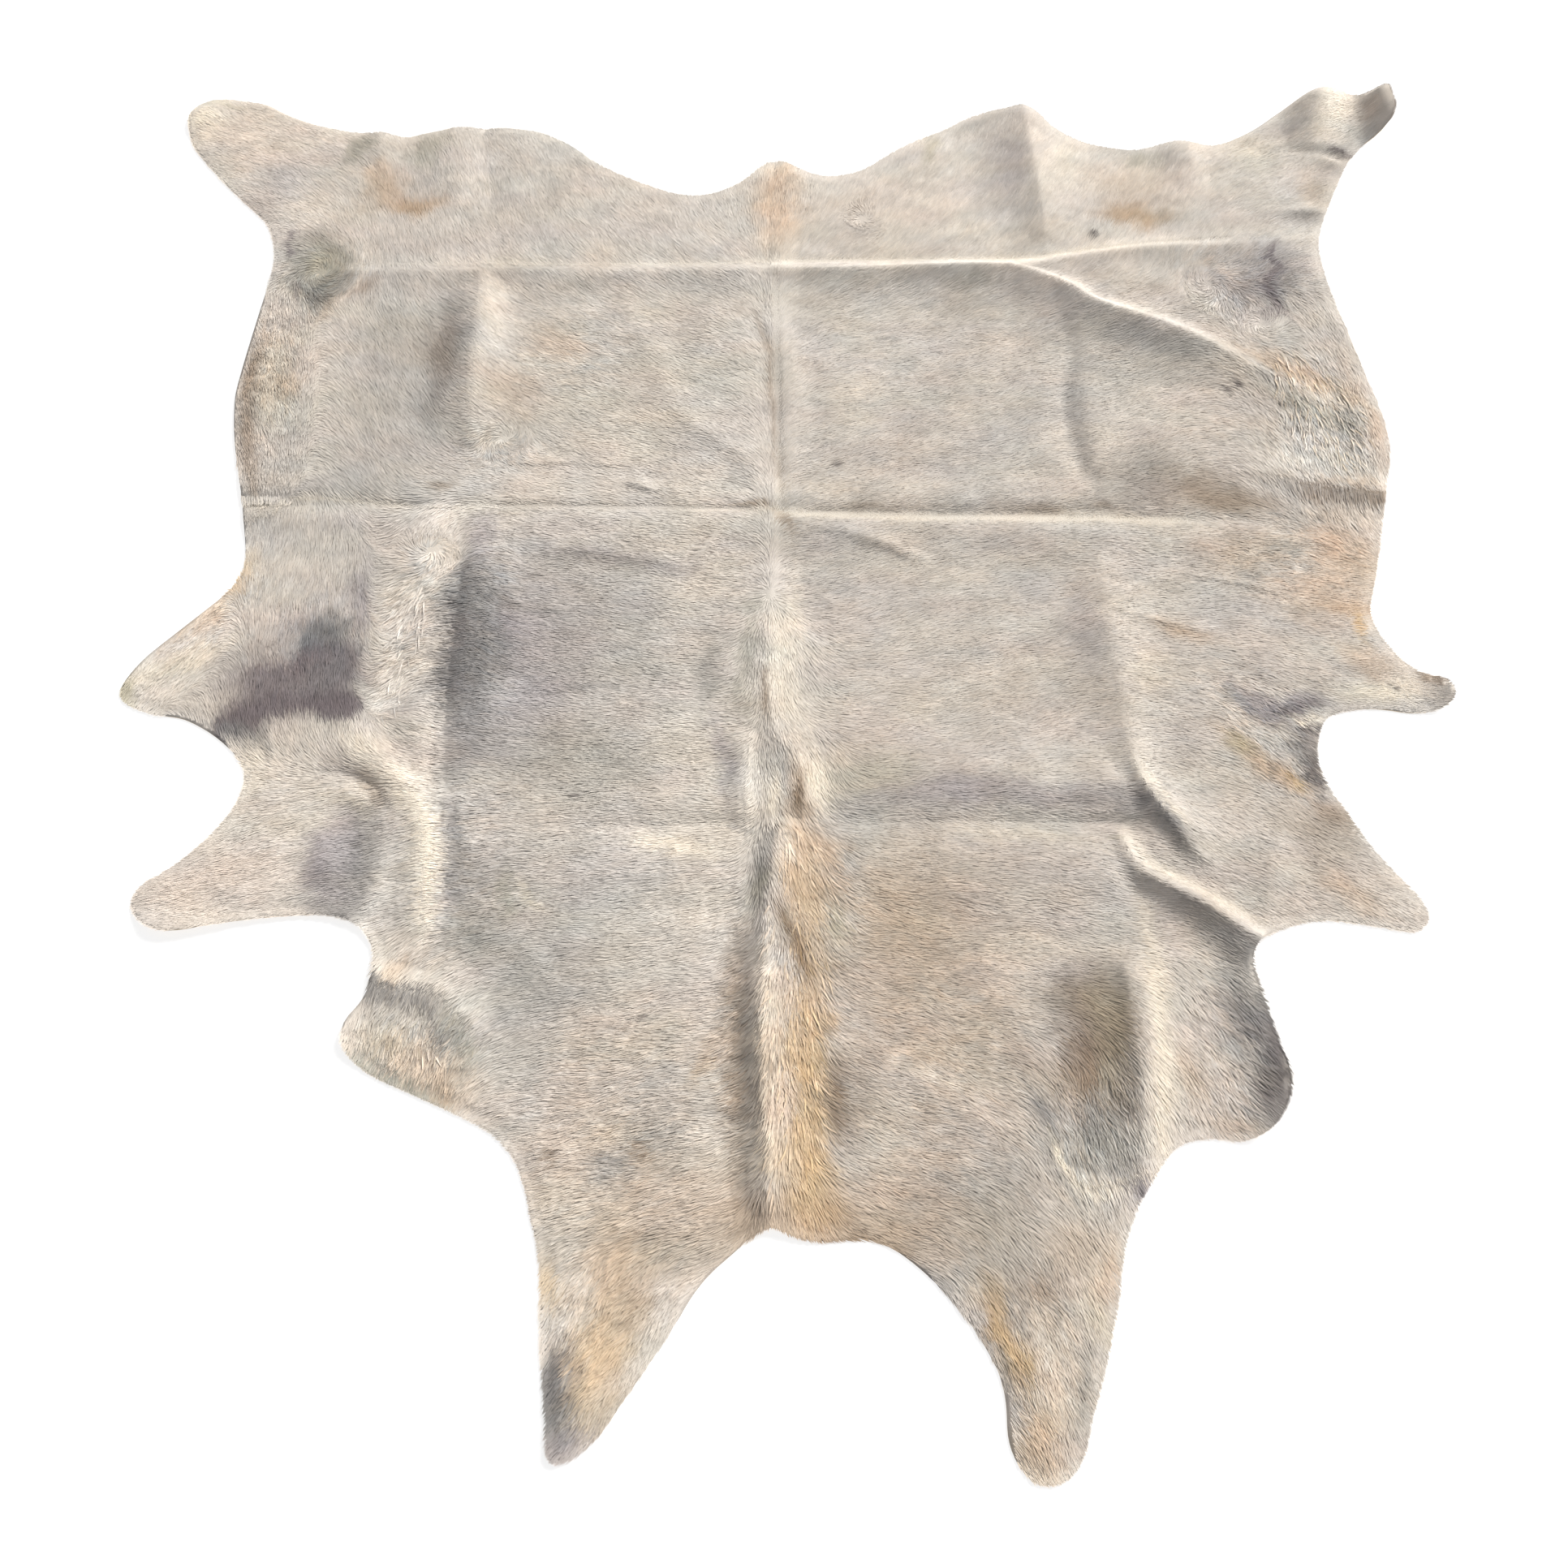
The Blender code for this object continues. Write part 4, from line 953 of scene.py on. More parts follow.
    ("thigh grey, right", 628, 1215, 42, 26, 70, "green grey", 0.6, 0.9),
    ("hind leg, right", 800, 1190, 140, 70, 10, "silver grey", 0.7, 1.0),
    ("hind leg tan, right", 898, 1165, 50, 36, 60, "tan", 0.35, 1.0),
    ("hind leg cream, right", 790, 1235, 100, 50, 0, "light cream", 0.5, 1.0),
    ("hind foot, right", 950, 1335, 74, 46, 60, "light cream", 0.7, 0.9),
    ("hind foot knuckle, right", 905, 1290, 50, 34, 0, "light cream", 0.5, 1.0),
    # The next two rows are painted shade on the curled-up right hind foot, darkest at its tip.
    ("hind foot horn, right, painted shade", 1060, 1342, 46, 13, 78, "slate", 0.9, 0.7),
    ("hind foot tip, right, painted shade", 1050, 1382, 16, 9, 0, "slate", 0.7, 0.8),
    ("hind foot pink, right", 1012, 1335, 50, 24, 84, "pinkish cream", 0.8, 0.9),
    ("tail root light", 4, 1120, 130, 60, 90, "light cream", 0.35, 1.0),
    ("tail root", 6, 1120, 120, 44, 90, "peach", 0.65, 0.9),
    ("rump olive, right", 258, 1250, 45, 24, 100, "olive", 0.5, 1.0),
)

PATCH_SPREAD = 1.15

# Marks: thin dark or light lines in the coat, each a colour and a run of stations; some are hair, some
# painted shade in creases and along rims, some painted highlights on lit crests.
# A station's columns: across, along, half width, strength
MARKS = {
    "whorl squiggle, right": (
        "dark lilac", (818, 1036, 4, 0.6), (800, 1006, 6, 1.0), (812, 979, 5, 0.9), (787, 953, 7, 1.0),
        (797, 927, 5, 0.8), (805, 902, 6, 0.9), (785, 871, 5, 0.5),
    ),
    # Painted shade along the right loin crease.
    "back crease, right, painted shade": (
        "slate", (441, 938, 5, 0.1), (464, 817, 7, 0.12), (455, 720, 12, 0.3), (452, 640, 14, 0.4),
        (470, 560, 6, 0.3), (475, 520, 5, 0.3),
    ),
    # Painted shade in the pocket at the end of the right hind leg crossfold.
    "hind leg pocket, right, painted shade": (
        "near black", (938, 1256, 5, 0.6), (946, 1248, 8, 1.0), (958, 1240, 9, 1.0), (976, 1230, 7, 0.8),
    ),
    # Painted shade along the right hind leg crossfold.
    "hind leg fold, right, painted shade": (
        "stone grey", (800, 1254, 4, 0.1), (870, 1252, 6, 0.25), (935, 1249, 5, 0.3),
    ),
    # Painted shade where the spine crease crosses the loin crossfold.
    "spine crossing, painted shade": (
        "brown", (-50, 512, 2.5, 0.5), (-15, 510, 3, 0.8), (2, 500, 4, 0.8), (10, 482, 5, 0.7),
        (20, 460, 4, 0.4),
    ),
    "loin crossfold shadow": (
        "brown", (60, 508, 2, 0.1), (132, 510, 4, 0.4), (200, 508, 2, 0.1), (300, 508, 5, 0.2),
        (350, 508, 6, 0.35), (405, 503, 6, 0.65), (418, 500, 4, 0.4), (450, 506, 3, 0.1),
        (478, 512, 6, 0.5), (492, 505, 5, 0.35), (520, 502, 2, 0.1),
    ),
    # Painted shade along the spine crease on the back.
    "spine, back, painted shade": (
        "brown", (-24, 880, 2.5, 0.3), (-6, 800, 3, 0.5), (-3, 700, 3, 0.5), (2, 600, 2.5, 0.5),
        (8, 540, 2.5, 0.5),
    ),
    "armpit line, right": (
        "near black", (700, 153, 3, 0.3), (722, 151, 4, 0.8), (745, 150, 4, 0.9),
    ),
    "armpit rim, right": (
        "near black", (738, 138, 8, 0.5), (731, 115, 11, 0.8), (728, 92, 12, 0.95), (728, 70, 12, 0.9),
        (734, 50, 8, 0.5),
    ),
    "flank fold shadow": (
        "brown", (762, 556, 3, 0.2), (800, 546, 5, 0.6), (850, 537, 5, 0.6), (906, 532, 6, 0.75),
    ),
    "crest shadow": (
        "brown", (-26, -140, 9, 0.4), (-32, -190, 14, 0.55), (-32, -249, 15, 0.65), (-30, -316, 15, 0.7),
        (-28, -373, 15, 0.7), (-24, -430, 13, 0.6), (-24, -510, 12, 0.5),
    ),
    # Painted shade: a thin dark line at the edge of the crest's shaded left face.
    "crest line": (
        "olive", (-17, -50, 4, 0.3), (-15, -70, 6, 0.7), (-18, -90, 5, 0.4), (-24, -121, 5, 0.2),
    ),
    "crest pocket": (
        "brown", (2, -104, 5, 0.5), (12, -130, 8, 0.9), (26, -152, 8, 0.95), (36, -178, 7, 0.95),
        (42, -194, 5, 0.6),
    ),
    # Painted highlight along the lit crest of the left shoulder fold.
    "shoulder ridge, left, painted highlight": (
        "light cream", (-590, 130, 8, 0.3), (-556, 100, 12, 0.7), (-531, 76, 11, 0.6), (-504, 54, 9, 0.7),
        (-482, 34, 11, 0.95), (-461, 10, 14, 1.0), (-449, -15, 16, 1.0), (-444, -45, 16, 1.0),
        (-441, -80, 16, 0.95), (-440, -120, 14, 0.8), (-440, -160, 11, 0.4),
    ),
    # Painted shade on the shaded slope of the left elbow crease.
    "elbow crease, left, painted shade": (
        "brown", (-600, 88, 7, 0.15), (-570, 79, 8, 0.25), (-545, 65, 8, 0.4), (-526, 47, 6, 0.5),
        (-520, 26, 4, 0.4),
    ),
    # Painted highlight on the lit slope of the left elbow crease.
    "elbow cream, left, painted highlight": (
        "light cream", (-600, 42, 6, 0.3), (-560, 36, 7, 0.75), (-537, 22, 6, 0.75), (-526, 4, 4, 0.3),
    ),
    # Painted shade along the left lobe's rim, which faces away from the key light.
    "lobe rim, left, painted shade": (
        "green grey", (-529, -304, 6, 0.3), (-505, -316, 8, 0.9), (-470, -332, 8, 0.9),
        (-432, -348, 8, 0.9), (-390, -370, 7, 0.4),
    ),
    # Painted shade along the left cheek's outer rim.
    "cheek rim, left, painted shade": (
        "slate", (-298, -452, 4, 0.3), (-289, -490, 6, 0.5), (-275, -545, 6, 0.4), (-266, -592, 4, 0.3),
    ),
    # Painted shade along the rim of the left lobe's notch.
    "lobe notch rim, left, painted shade": (
        "slate", (-524, -170, 6, 0.5), (-514, -200, 8, 0.7), (-512, -222, 8, 0.8),
    ),
    "neck arc": (
        "light cream", (345, -396, 2, 0.2), (346, -428, 2.5, 0.9), (357, -454, 3, 1.0),
        (374, -470, 2.5, 0.9), (386, -474, 2, 0.2),
    ),
    "neck arc, side": (
        "light cream", (390, -468, 2, 0.2), (421, -460, 2.5, 0.7), (448, -457, 2, 0.3),
    ),
    "neck mark, left": (
        "brown", (-259, -426, 2.5, 0.6), (-252, -442, 3, 0.8), (-243, -454, 2, 0.3),
    ),
    "neck mark, middle": (
        "brown", (-156, -422, 2.5, 0.7), (-142, -434, 3, 0.8), (-124, -441, 2, 0.3),
    ),
    "elbow edge, left": (
        "dark lilac", (-755, 152, 8, 0.5), (-715, 156, 10, 0.9), (-650, 162, 10, 1.0), (-600, 168, 10, 1.0),
        (-565, 174, 8, 0.6),
    ),
    # Painted shade along the left brisket's lower rim.
    "brisket rim, left, painted shade": (
        "slate", (-600, -118, 6, 0.3), (-575, -122, 9, 0.7), (-548, -132, 9, 0.7), (-536, -150, 6, 0.5),
        (-531, -180, 4, 0.4),
    ),
    # Painted shade in the groove beside the left lobe wrinkle.
    "lobe groove, left, painted shade": (
        "slate", (-510, -215, 5, 0.5), (-500, -225, 6, 0.7), (-450, -230, 6, 0.75), (-430, -240, 6, 0.75),
        (-418, -265, 6, 0.7), (-395, -300, 6, 0.4),
    ),
    # Painted shade along the shoulder crossfold crease across the crest.
    "crest head line, painted shade": (
        "slate", (-44, -2, 2.5, 0.4), (-28, -4, 2.5, 0.8), (-8, -5, 2.5, 0.7), (8, -8, 3, 0.9),
        (22, -8, 2.5, 0.4),
    ),
    "hump line": (
        "brown", (-12, 240, 2.5, 0.5), (-11, 200, 3, 0.7), (-6, 165, 2.5, 0.4),
    ),
    "neck patch side": (
        "slate", (300, -345, 6, 0.3), (322, -372, 9, 0.7), (335, -405, 9, 0.8), (348, -440, 9, 0.8),
        (365, -468, 7, 0.5), (395, -478, 5, 0.3),
    ),
    # Painted shade along the right cheek's inner rim, which faces away from the key light.
    "cheek rim, right, painted shade": (
        "slate", (160, -556, 4, 0.3), (202, -598, 6, 0.7), (240, -645, 6, 0.7), (262, -690, 5, 0.5),
    ),
    "neck edge": (
        "brown", (5, -520, 4, 0.4), (50, -532, 6, 0.6), (100, -533, 6, 0.6), (150, -548, 5, 0.5),
    ),
    # Painted shade along the lower edge of the shade above the right shoulder crossfold.
    "shoulder hem, right, painted shade": (
        "stone grey", (395, 8, 4, 0.3), (440, 7, 5, 0.5), (470, 8, 5, 0.7), (484, 9, 4, 0.4),
    ),
    "lobe band, right": (
        "light cream", (470, -105, 9, 0.4), (477, -160, 10, 0.75), (480, -220, 10, 0.85),
        (478, -300, 10, 0.85), (472, -360, 10, 0.85), (468, -425, 10, 0.6),
    ),
    # Painted shade in the hollow at the foot of the hump.
    "hump hollow, right, painted shade": (
        "brown", (40, 84, 3, 0.3), (34, 62, 5, 0.7), (29, 40, 6, 0.8), (27, 22, 4, 0.5),
    ),
    "armpit cream line": (
        "light cream", (696, 165, 3, 0.4), (722, 164, 4, 0.8), (748, 163, 4, 0.7),
    ),
    "belly stripe": (
        "peach", (770, 346, 5, 0.3), (810, 340, 7, 0.7), (850, 336, 7, 0.6),
    ),
    "hind leg stripe, right": (
        "stone grey", (840, 1096, 8, 0.2), (872, 1098, 9, 0.5), (906, 1110, 8, 0.3),
    ),
    # Painted shadow under the tuft at the end of the crest's fan.
    "crest tuft, painted shadow": (
        "brown", (42, -190, 3, 0.4), (62, -188, 3, 0.6), (86, -184, 2.5, 0.4),
    ),
    # Painted shade on the crest's shaded left face, near the head.
    "crest column, painted shade": (
        "stone grey", (-18, 8, 7, 0.3), (-17, -20, 9, 0.6), (-17, -50, 9, 0.6), (-20, -85, 8, 0.4),
        (-26, -125, 8, 0.2),
    ),
    # Painted shade on the crest's shaded left face, beside its crest.
    "crest core, painted shade": (
        "stone grey", (-22, -230, 6, 0.3), (-20, -280, 7, 0.5), (-19, -340, 7, 0.5), (-18, -410, 7, 0.5),
        (-18, -480, 6, 0.3),
    ),
    "hump bright line": (
        "light cream", (2, 84, 2.5, 0.5), (0, 50, 3, 0.8), (-1, 18, 2.5, 0.5),
    ),
    "hump cream, right": (
        "light cream", (62, 90, 7, 0.5), (60, 60, 8, 0.7), (58, 25, 7, 0.4),
    ),
    # Painted highlight on the lit side of the right shoulder fold's crest.
    "shoulder crest line, right, painted highlight": (
        "light cream", (484, 102, 3, 0.3), (490, 78, 4, 0.6), (502, 54, 4.5, 0.65), (518, 26, 4.5, 0.65),
        (534, 4, 4, 0.5), (548, -12, 3, 0.2),
    ),
    # Painted highlight along the lit crest of the right shoulder's lower diagonal.
    "shoulder lower line, right, painted highlight": (
        "light cream", (462, -10, 6, 0.4), (472, -34, 7, 0.5), (494, -60, 7, 0.5), (534, -82, 6, 0.5),
        (584, -110, 6, 0.5), (632, -140, 5, 0.4),
    ),
    # Painted shade in the hollow beside the left shoulder fold.
    "shoulder hollow, left, painted shade": (
        "slate", (-432, 30, 7, 0.4), (-414, 2, 10, 0.7), (-409, -40, 10, 0.7), (-408, -90, 10, 0.5),
        (-410, -140, 8, 0.2),
    ),
    # Painted shade along the left flank's rim, which faces away from the key light.
    "flank rim, left, painted shade": (
        "brown", (-808, 850, 8, 0.3), (-817, 800, 8, 0.5), (-818, 750, 8, 0.5), (-814, 700, 8, 0.5),
        (-807, 650, 8, 0.5), (-794, 600, 8, 0.5), (-780, 550, 8, 0.4),
    ),
    "loin pocket rim, left": (
        "brown", (-512, 551, 4, 0.3), (-490, 545, 6, 0.6), (-470, 552, 4, 0.3),
    ),
    "cheek rim, far right": (
        "stone grey", (362, -640, 4, 0.3), (354, -670, 7, 0.6), (346, -705, 7, 0.6), (336, -735, 6, 0.4),
    ),
    "brisket edge, left": (
        "slate", (-522, 24, 8, 0.3), (-524, -10, 11, 0.55), (-525, -50, 12, 0.6), (-530, -90, 12, 0.6),
        (-540, -125, 10, 0.5),
    ),
}

# Small dark marks in the coat. Columns: across, along, radius
SPECKS = (
    (860, 208, 5), (85, 587, 6), (-255, 40, 5), (-150, -262, 5), (-255, -432, 5), (520, 1050, 9),
    (690, 737, 6), (709, 746, 7),
)
SPECK_EDGE = 1.3


def colour_and_painted_light_chart():
    """The coat's linear colour with its painted shade and painted light: each patch blended in by its
    strength, with its edge warped by two sizes of noise, then the specks, a soft mottle, and the marks and
    partings. Some patches and marks are painted shade on shaded fold faces, in creases and along rims, and
    some are painted highlights on lit faces and crests."""
    warped = PLACES + (shift("patch edge, wide", PLACES) + shift("patch edge, fine", PLACES))
    colour = np.broadcast_to(linear(COAT["pale grey"]), PLACES.shape[:2] + (3,)).copy()

    def blend(share, target):
        colour[:] += share[..., None] * (linear(COAT[target]) - colour)

    for _, across, along, half_length, half_width, turn, name, strength, softness in PATCHES:
        halves = PATCH_SPREAD * half_length, PATCH_SPREAD * half_width
        share = mound_share(warped, across, along, *halves, turn)
        t = np.clip((1 - share) / softness, 0, 1)
        blend(strength * t * t * (3 - 2 * t), name)
    for across, along, radius in SPECKS:
        blend(np.clip(SPECK_EDGE - mound_share(PLACES, across, along, radius, radius, 0), 0, 1), "near black")
    mottle = 1 + sum(noise(f"mottle, {size}", PLACES) for size in ("wide", "middle", "fine"))
    warmth = noise("warmth, wide", PLACES) + noise("warmth, fine", PLACES)
    colour *= mottle[..., None] * np.stack([1 + warmth, 1 - noise("blush", PLACES), 1 - warmth], -1)
    for name, *stations in MARKS.values():
        share = np.zeros(PLACES.shape[:2])
        beside_run(share, eased(stations, CHART_CELL), MARK_REACH, mark_share)
        blend(share, name)
    blend(PALENESS, "light cream")
    return colour


# Lay of the hair. A place's hair follows the rows near it, each weighed by exp(-(distance / reach) squared).
# Columns: name, across, along, reach, heading, length, stand of the tips
LAY = (
    ("rump, left", -300, 1120, 170, 120, 14, 1.7),
    ("rump, right", 250, 1120, 170, 60, 14, 1.7),
    ("tail root", 5, 1150, 60, 90, 18, 2.4),
    ("hind leg, left", -850, 1260, 150, 160, 13, 1.7),
    ("hind leg, right", 880, 1260, 150, 25, 13, 1.7),
    ("thigh, left", -600, 1160, 110, 110, 16, 2.0),
    ("thigh, right", 600, 1160, 110, 60, 15, 1.9),
    ("back, left", -220, 780, 210, 168, 15, 1.8),
    ("back, right", 220, 780, 210, 8, 15, 1.8),
    ("mid flank, left", -600, 760, 120, 120, 17, 2.2),
    ("mid flank, right", 600, 740, 120, 10, 16, 2.0),
    ("flank, left", -780, 740, 110, -75, 20, 2.8),
    ("flank, right", 840, 680, 120, -80, 20, 2.8),
    ("flank top, right", 740, 790, 70, -55, 19, 2.6),
    ("loin, left", -230, 300, 200, 178, 16, 2.0),
    ("loin, right", 220, 300, 200, 5, 16, 1.9),
    ("elbow, left", -660, 240, 120, 95, 19, 2.6),
    ("elbow halo, left", -700, 340, 70, 80, 19, 2.4),
    ("fluffy band, top", -488, 450, 46, -112, 24, 3.4),
    ("fluffy band", -512, 340, 46, -115, 24, 3.6),
    ("fluffy band, foot", -524, 220, 46, -120, 24, 3.6),
    ("foreleg, left", -810, 290, 80, -110, 16, 2.0),
    ("belly, right", 640, 340, 130, -10, 16, 2.0),
    ("elbow, right", 680, 180, 70, -35, 20, 2.8),
    ("armpit, right", 690, 100, 50, -50, 20, 2.6),
    ("foreleg, right", 860, 210, 80, -10, 13, 1.7),
    ("shoulder, left", -250, -120, 160, 190, 18, 2.2),
    ("shoulder, right", 250, -120, 160, -12, 18, 2.2),
    ("brisket, left", -680, -60, 120, 200, 14, 1.8),
    ("brisket, right", 700, -60, 120, -30, 15, 1.9),
    ("lobe, left", -440, -290, 90, -100, 24, 3.2),
    ("neck, left", -180, -380, 140, 190, 20, 2.6),
    ("neck, right", 160, -380, 130, -20, 19, 2.5),
    ("neck patch, right", 380, -380, 80, -75, 26, 3.2),
    ("lobe, right", 560, -330, 80, -60, 18, 2.4),
    ("cheek, left", -210, -650, 110, -125, 19, 2.5),
    ("cheek, right", 310, -680, 110, -65, 18, 2.3),
    ("hump", 20, 250, 60, -86, 15, 1.6),
    ("hump, foot", 45, 90, 50, -82, 18, 2.0),
    ("crest, top", 40, -60, 44, -68, 28, 4.0),
    ("crest, shoulder", 46, -140, 42, -70, 28, 4.0),
    ("crest, upper", 36, -220, 36, -84, 26, 3.6),
    ("crest, middle", 34, -310, 36, -80, 26, 3.6),
    ("crest, lower", 36, -400, 36, -86, 26, 3.6),
    ("crest, edge", 36, -490, 36, -84, 24, 3.4),
    ("crest, left side, upper", -34, -180, 34, -150, 22, 3.0),
    ("crest, left side, middle", -38, -300, 34, -145, 22, 3.0),
    ("crest, left side, lower", -36, -430, 34, -150, 22, 3.0),
)

# Whorls, where the hair turns round a point. Columns: name, across, along, reach, turn from the way out
WHORLS = (
    ("flank, left", -735, 975, 75, 65),
    ("flank, right", 700, 950, 50, -70),
    ("lower flank, right", 775, 865, 40, 80),
    ("loin, left", -410, 640, 45, 75),
    ("rump, right", 145, 1090, 30, 70),
    ("fluffy band, left", -500, 430, 40, -60),
)
WHORL_PULL = 1.6

# Uneven coat, where hairs of different colours stand apart from one another.
# Columns: name, across, along, half length, half width, turn, how uneven
TUFTS = (
    ("crest", 40, -270, 290, 50, 90, 0.8),
    ("crest, left side", -34, -290, 260, 34, 90, 0.6),
    ("crest, fan", 85, -120, 120, 60, 100, 0.7),
    ("fluffy band", -505, 330, 190, 60, 82, 0.9),
    ("loin grey, left", -410, 300, 190, 80, 90, 0.8),
    ("elbow, left", -650, 270, 130, 100, 30, 0.6),
    ("foreleg, left", -790, 330, 110, 50, 45, 0.6),
    ("shoulder, left", -400, -60, 160, 90, 85, 0.5),
    ("lobe, left", -440, -290, 110, 80, 0, 0.9),
    ("neck, left", -170, -420, 240, 140, 90, 0.5),
    ("cheek, left", -210, -640, 150, 60, 85, 0.7),
    ("neck, right", 200, -330, 260, 160, 90, 0.5),
    ("neck patch, right", 385, -370, 130, 80, 85, 1.0),
    ("cheek, right", 300, -660, 140, 80, 85, 0.6),
    ("lobe, right", 560, -310, 140, 70, 90, 0.6),
    ("elbow, right", 670, 175, 130, 70, -20, 1.0),
    ("armpit, right", 690, 90, 100, 50, -40, 0.9),
    ("flank, right", 830, 690, 190, 100, 110, 1.0),
    ("belly, right", 760, 440, 150, 110, 20, 0.9),
    ("flank, left", -785, 760, 190, 60, 92, 0.8),
    ("whorl, left", -727, 960, 95, 80, 95, 0.7),
    ("whorl, right", 750, 960, 130, 95, 0, 0.8),
    ("loin tuft, left", -400, 625, 90, 50, 0, 0.9),
    ("back, left", -300, 800, 130, 110, 40, 0.5),
    ("tail root", 6, 1130, 100, 40, 92, 0.5),
)
TUFT_EDGE = 1.4


def unit(ways, least):
    """The ways at length 1, or shorter where they are under the least length."""
    return ways / np.maximum(np.hypot(ways[..., 0], ways[..., 1]), least)[..., None]


def lay_chart():
    """At each place the hair's way as a vector, its length and the stand of its tips: the weighed mean of the
    rows, with the way pulled round each whorl by exp(-(distance / reach) squared)."""
    weights = np.full(PLACES.shape[:2], 1e-6)
    lay = np.zeros(PLACES.shape[:2] + (4,))
    for _, across, along, reach, heading, length, stand in LAY:
        weight = np.exp(-((PLACES - (across, along)) ** 2).sum(-1) / reach**2)
        row = (math.cos(math.radians(heading)), math.sin(math.radians(heading)), length, stand)
        lay += weight[..., None] * np.array(row)
        weights += weight
    lay /= weights[..., None]
    way = unit(lay[..., :2], 1e-3)
    for _, across, along, reach, turn in WHORLS:
        away = PLACES - (across, along)
        share = np.exp(-((away / reach) ** 2).sum(-1))[..., None]
        away = unit(away, 1)
        c, s = math.cos(math.radians(turn)), math.sin(math.radians(turn))
        spun = np.stack([c * away[..., 0] - s * away[..., 1], s * away[..., 0] + c * away[..., 1]], -1)
        way = way * (1 - share) + WHORL_PULL * share * spun
    return np.concatenate([unit(way, 1e-3), lay[..., 2:]], -1)


def tuft_chart():
    """How uneven the coat is at each place, from 0 to 1: the most that any row gives it, falling off towards
    the row's edge, which is warped by noise."""
    warped = PLACES + shift("tuft edge", PLACES)
    uneven = np.zeros(PLACES.shape[:2])
    for _, across, along, half_length, half_width, turn, much in TUFTS:
        share = mound_share(warped, across, along, half_length, half_width, turn)
        uneven = np.maximum(uneven, much * np.clip(TUFT_EDGE * (1 - share), 0, 1))
    return uneven


COLOUR_AND_PAINTED_LIGHT = colour_and_painted_light_chart()
LAY_CHART = lay_chart()
UNEVEN = tuft_chart()


def add_mesh(name, points, corners, sizes, materials, faces_of=None):
    """A mesh object from points in table millimetres, with the corners of its faces one after another."""
    mesh = bpy.data.meshes.new(name)
    mesh.vertices.add(len(points))
    placed = (points - np.append(MIDDLE, 0)) * MM
    mesh.vertices.foreach_set("co", placed.astype(np.float32).ravel())
    mesh.loops.add(len(corners))
    mesh.loops.foreach_set("vertex_index", corners.astype(np.int32))
    mesh.polygons.add(len(sizes))
    starts = np.concatenate([[0], np.cumsum(sizes)[:-1]])
    mesh.polygons.foreach_set("loop_start", starts.astype(np.int32))
    for material in materials:
        mesh.materials.append(material)
    if faces_of is not None:
        mesh.polygons.foreach_set("material_index", faces_of.astype(np.int32))
    mesh.update(calc_edges=True)
    piece = bpy.data.objects.new(name, mesh)
    bpy.context.scene.collection.objects.link(piece)
    return piece


def paint(piece, colours):
    """Keeps a linear colour at each point, hair colour with painted shade and painted light, which the coat's
    materials read.
    """
    attribute = piece.data.color_attributes.new(name="coat colour and painted light", type="FLOAT_COLOR", domain="POINT")
    filled = np.column_stack([colours.clip(0, 1), np.ones(len(colours))])
    attribute.data.foreach_set("color", filled.astype(np.float32).ravel())


def add_node(material, kind, settings=None, values=None, links=None):
    """One node: its settings, the values of its inputs, and its inputs linked to outputs of other nodes."""
    node = material.node_tree.nodes.new(kind)
    for name, value in (settings or {}).items():
        setattr(node, name, value)
    for name, value in (values or {}).items():
        node.inputs[name].default_value = value
    for name, output in (links or {}).items():
        material.node_tree.links.new(output, node.inputs[name])
    return node


def new_material(name):
    """An empty node material with its output."""
    material = bpy.data.materials.new(name)
    material.use_nodes = True
    material.node_tree.nodes.clear()
    return material, add_node(material, "ShaderNodeOutputMaterial")


def noise_on(material, scale, detail):
    """Noise in the piece's own coordinates, with grains about one part in scale of a metre across."""
    place = add_node(material, "ShaderNodeTexCoord")
    grain = add_node(material, "ShaderNodeTexNoise", values={"Scale": scale, "Detail": detail},
                     links={"Vector": place.outputs["Object"]})
    return grain.outputs["Fac"]


def shaded(material, output, values, links):
    """The material with a Principled shader joined to its output."""
    shader = add_node(material, "ShaderNodeBsdfPrincipled", values=values, links=links)
    material.node_tree.links.new(shader.outputs["BSDF"], output.inputs["Surface"])
    return material


def hair_material():
    """Short cattle hair, dry and clean: a soft satin, a little duller or glossier from hair to hair."""
    material, output = new_material("cattle hair")
    coat = add_node(material, "ShaderNodeVertexColor", {"layer_name": "coat colour and painted light"})
    rough = add_node(material, "ShaderNodeMapRange", values={"To Min": 0.52, "To Max": 0.78},
                     links={"Value": noise_on(material, 420.0, 2.0)})
    return shaded(material, output, {"IOR": 1.55, "Specular IOR Level": 0.3},
                  {"Base Color": coat.outputs["Color"], "Roughness": rough.outputs["Result"]})


def undercoat_material():
    """The close base of the coat, seen between the hairs: matt, with a felted grain about 1.5 mm across."""
    material, output = new_material("cattle undercoat")
    coat = add_node(material, "ShaderNodeVertexColor", {"layer_name": "coat colour and painted light"})
    bump = add_node(material, "ShaderNodeBump", values={"Strength": 0.6, "Distance": 0.001},
                    links={"Height": noise_on(material, 650.0, 3.0)})
    return shaded(material, output, {"Roughness": 0.85, "Specular IOR Level": 0.2},
                  {"Base Color": coat.outputs["Color"], "Normal": bump.outputs["Normal"]})


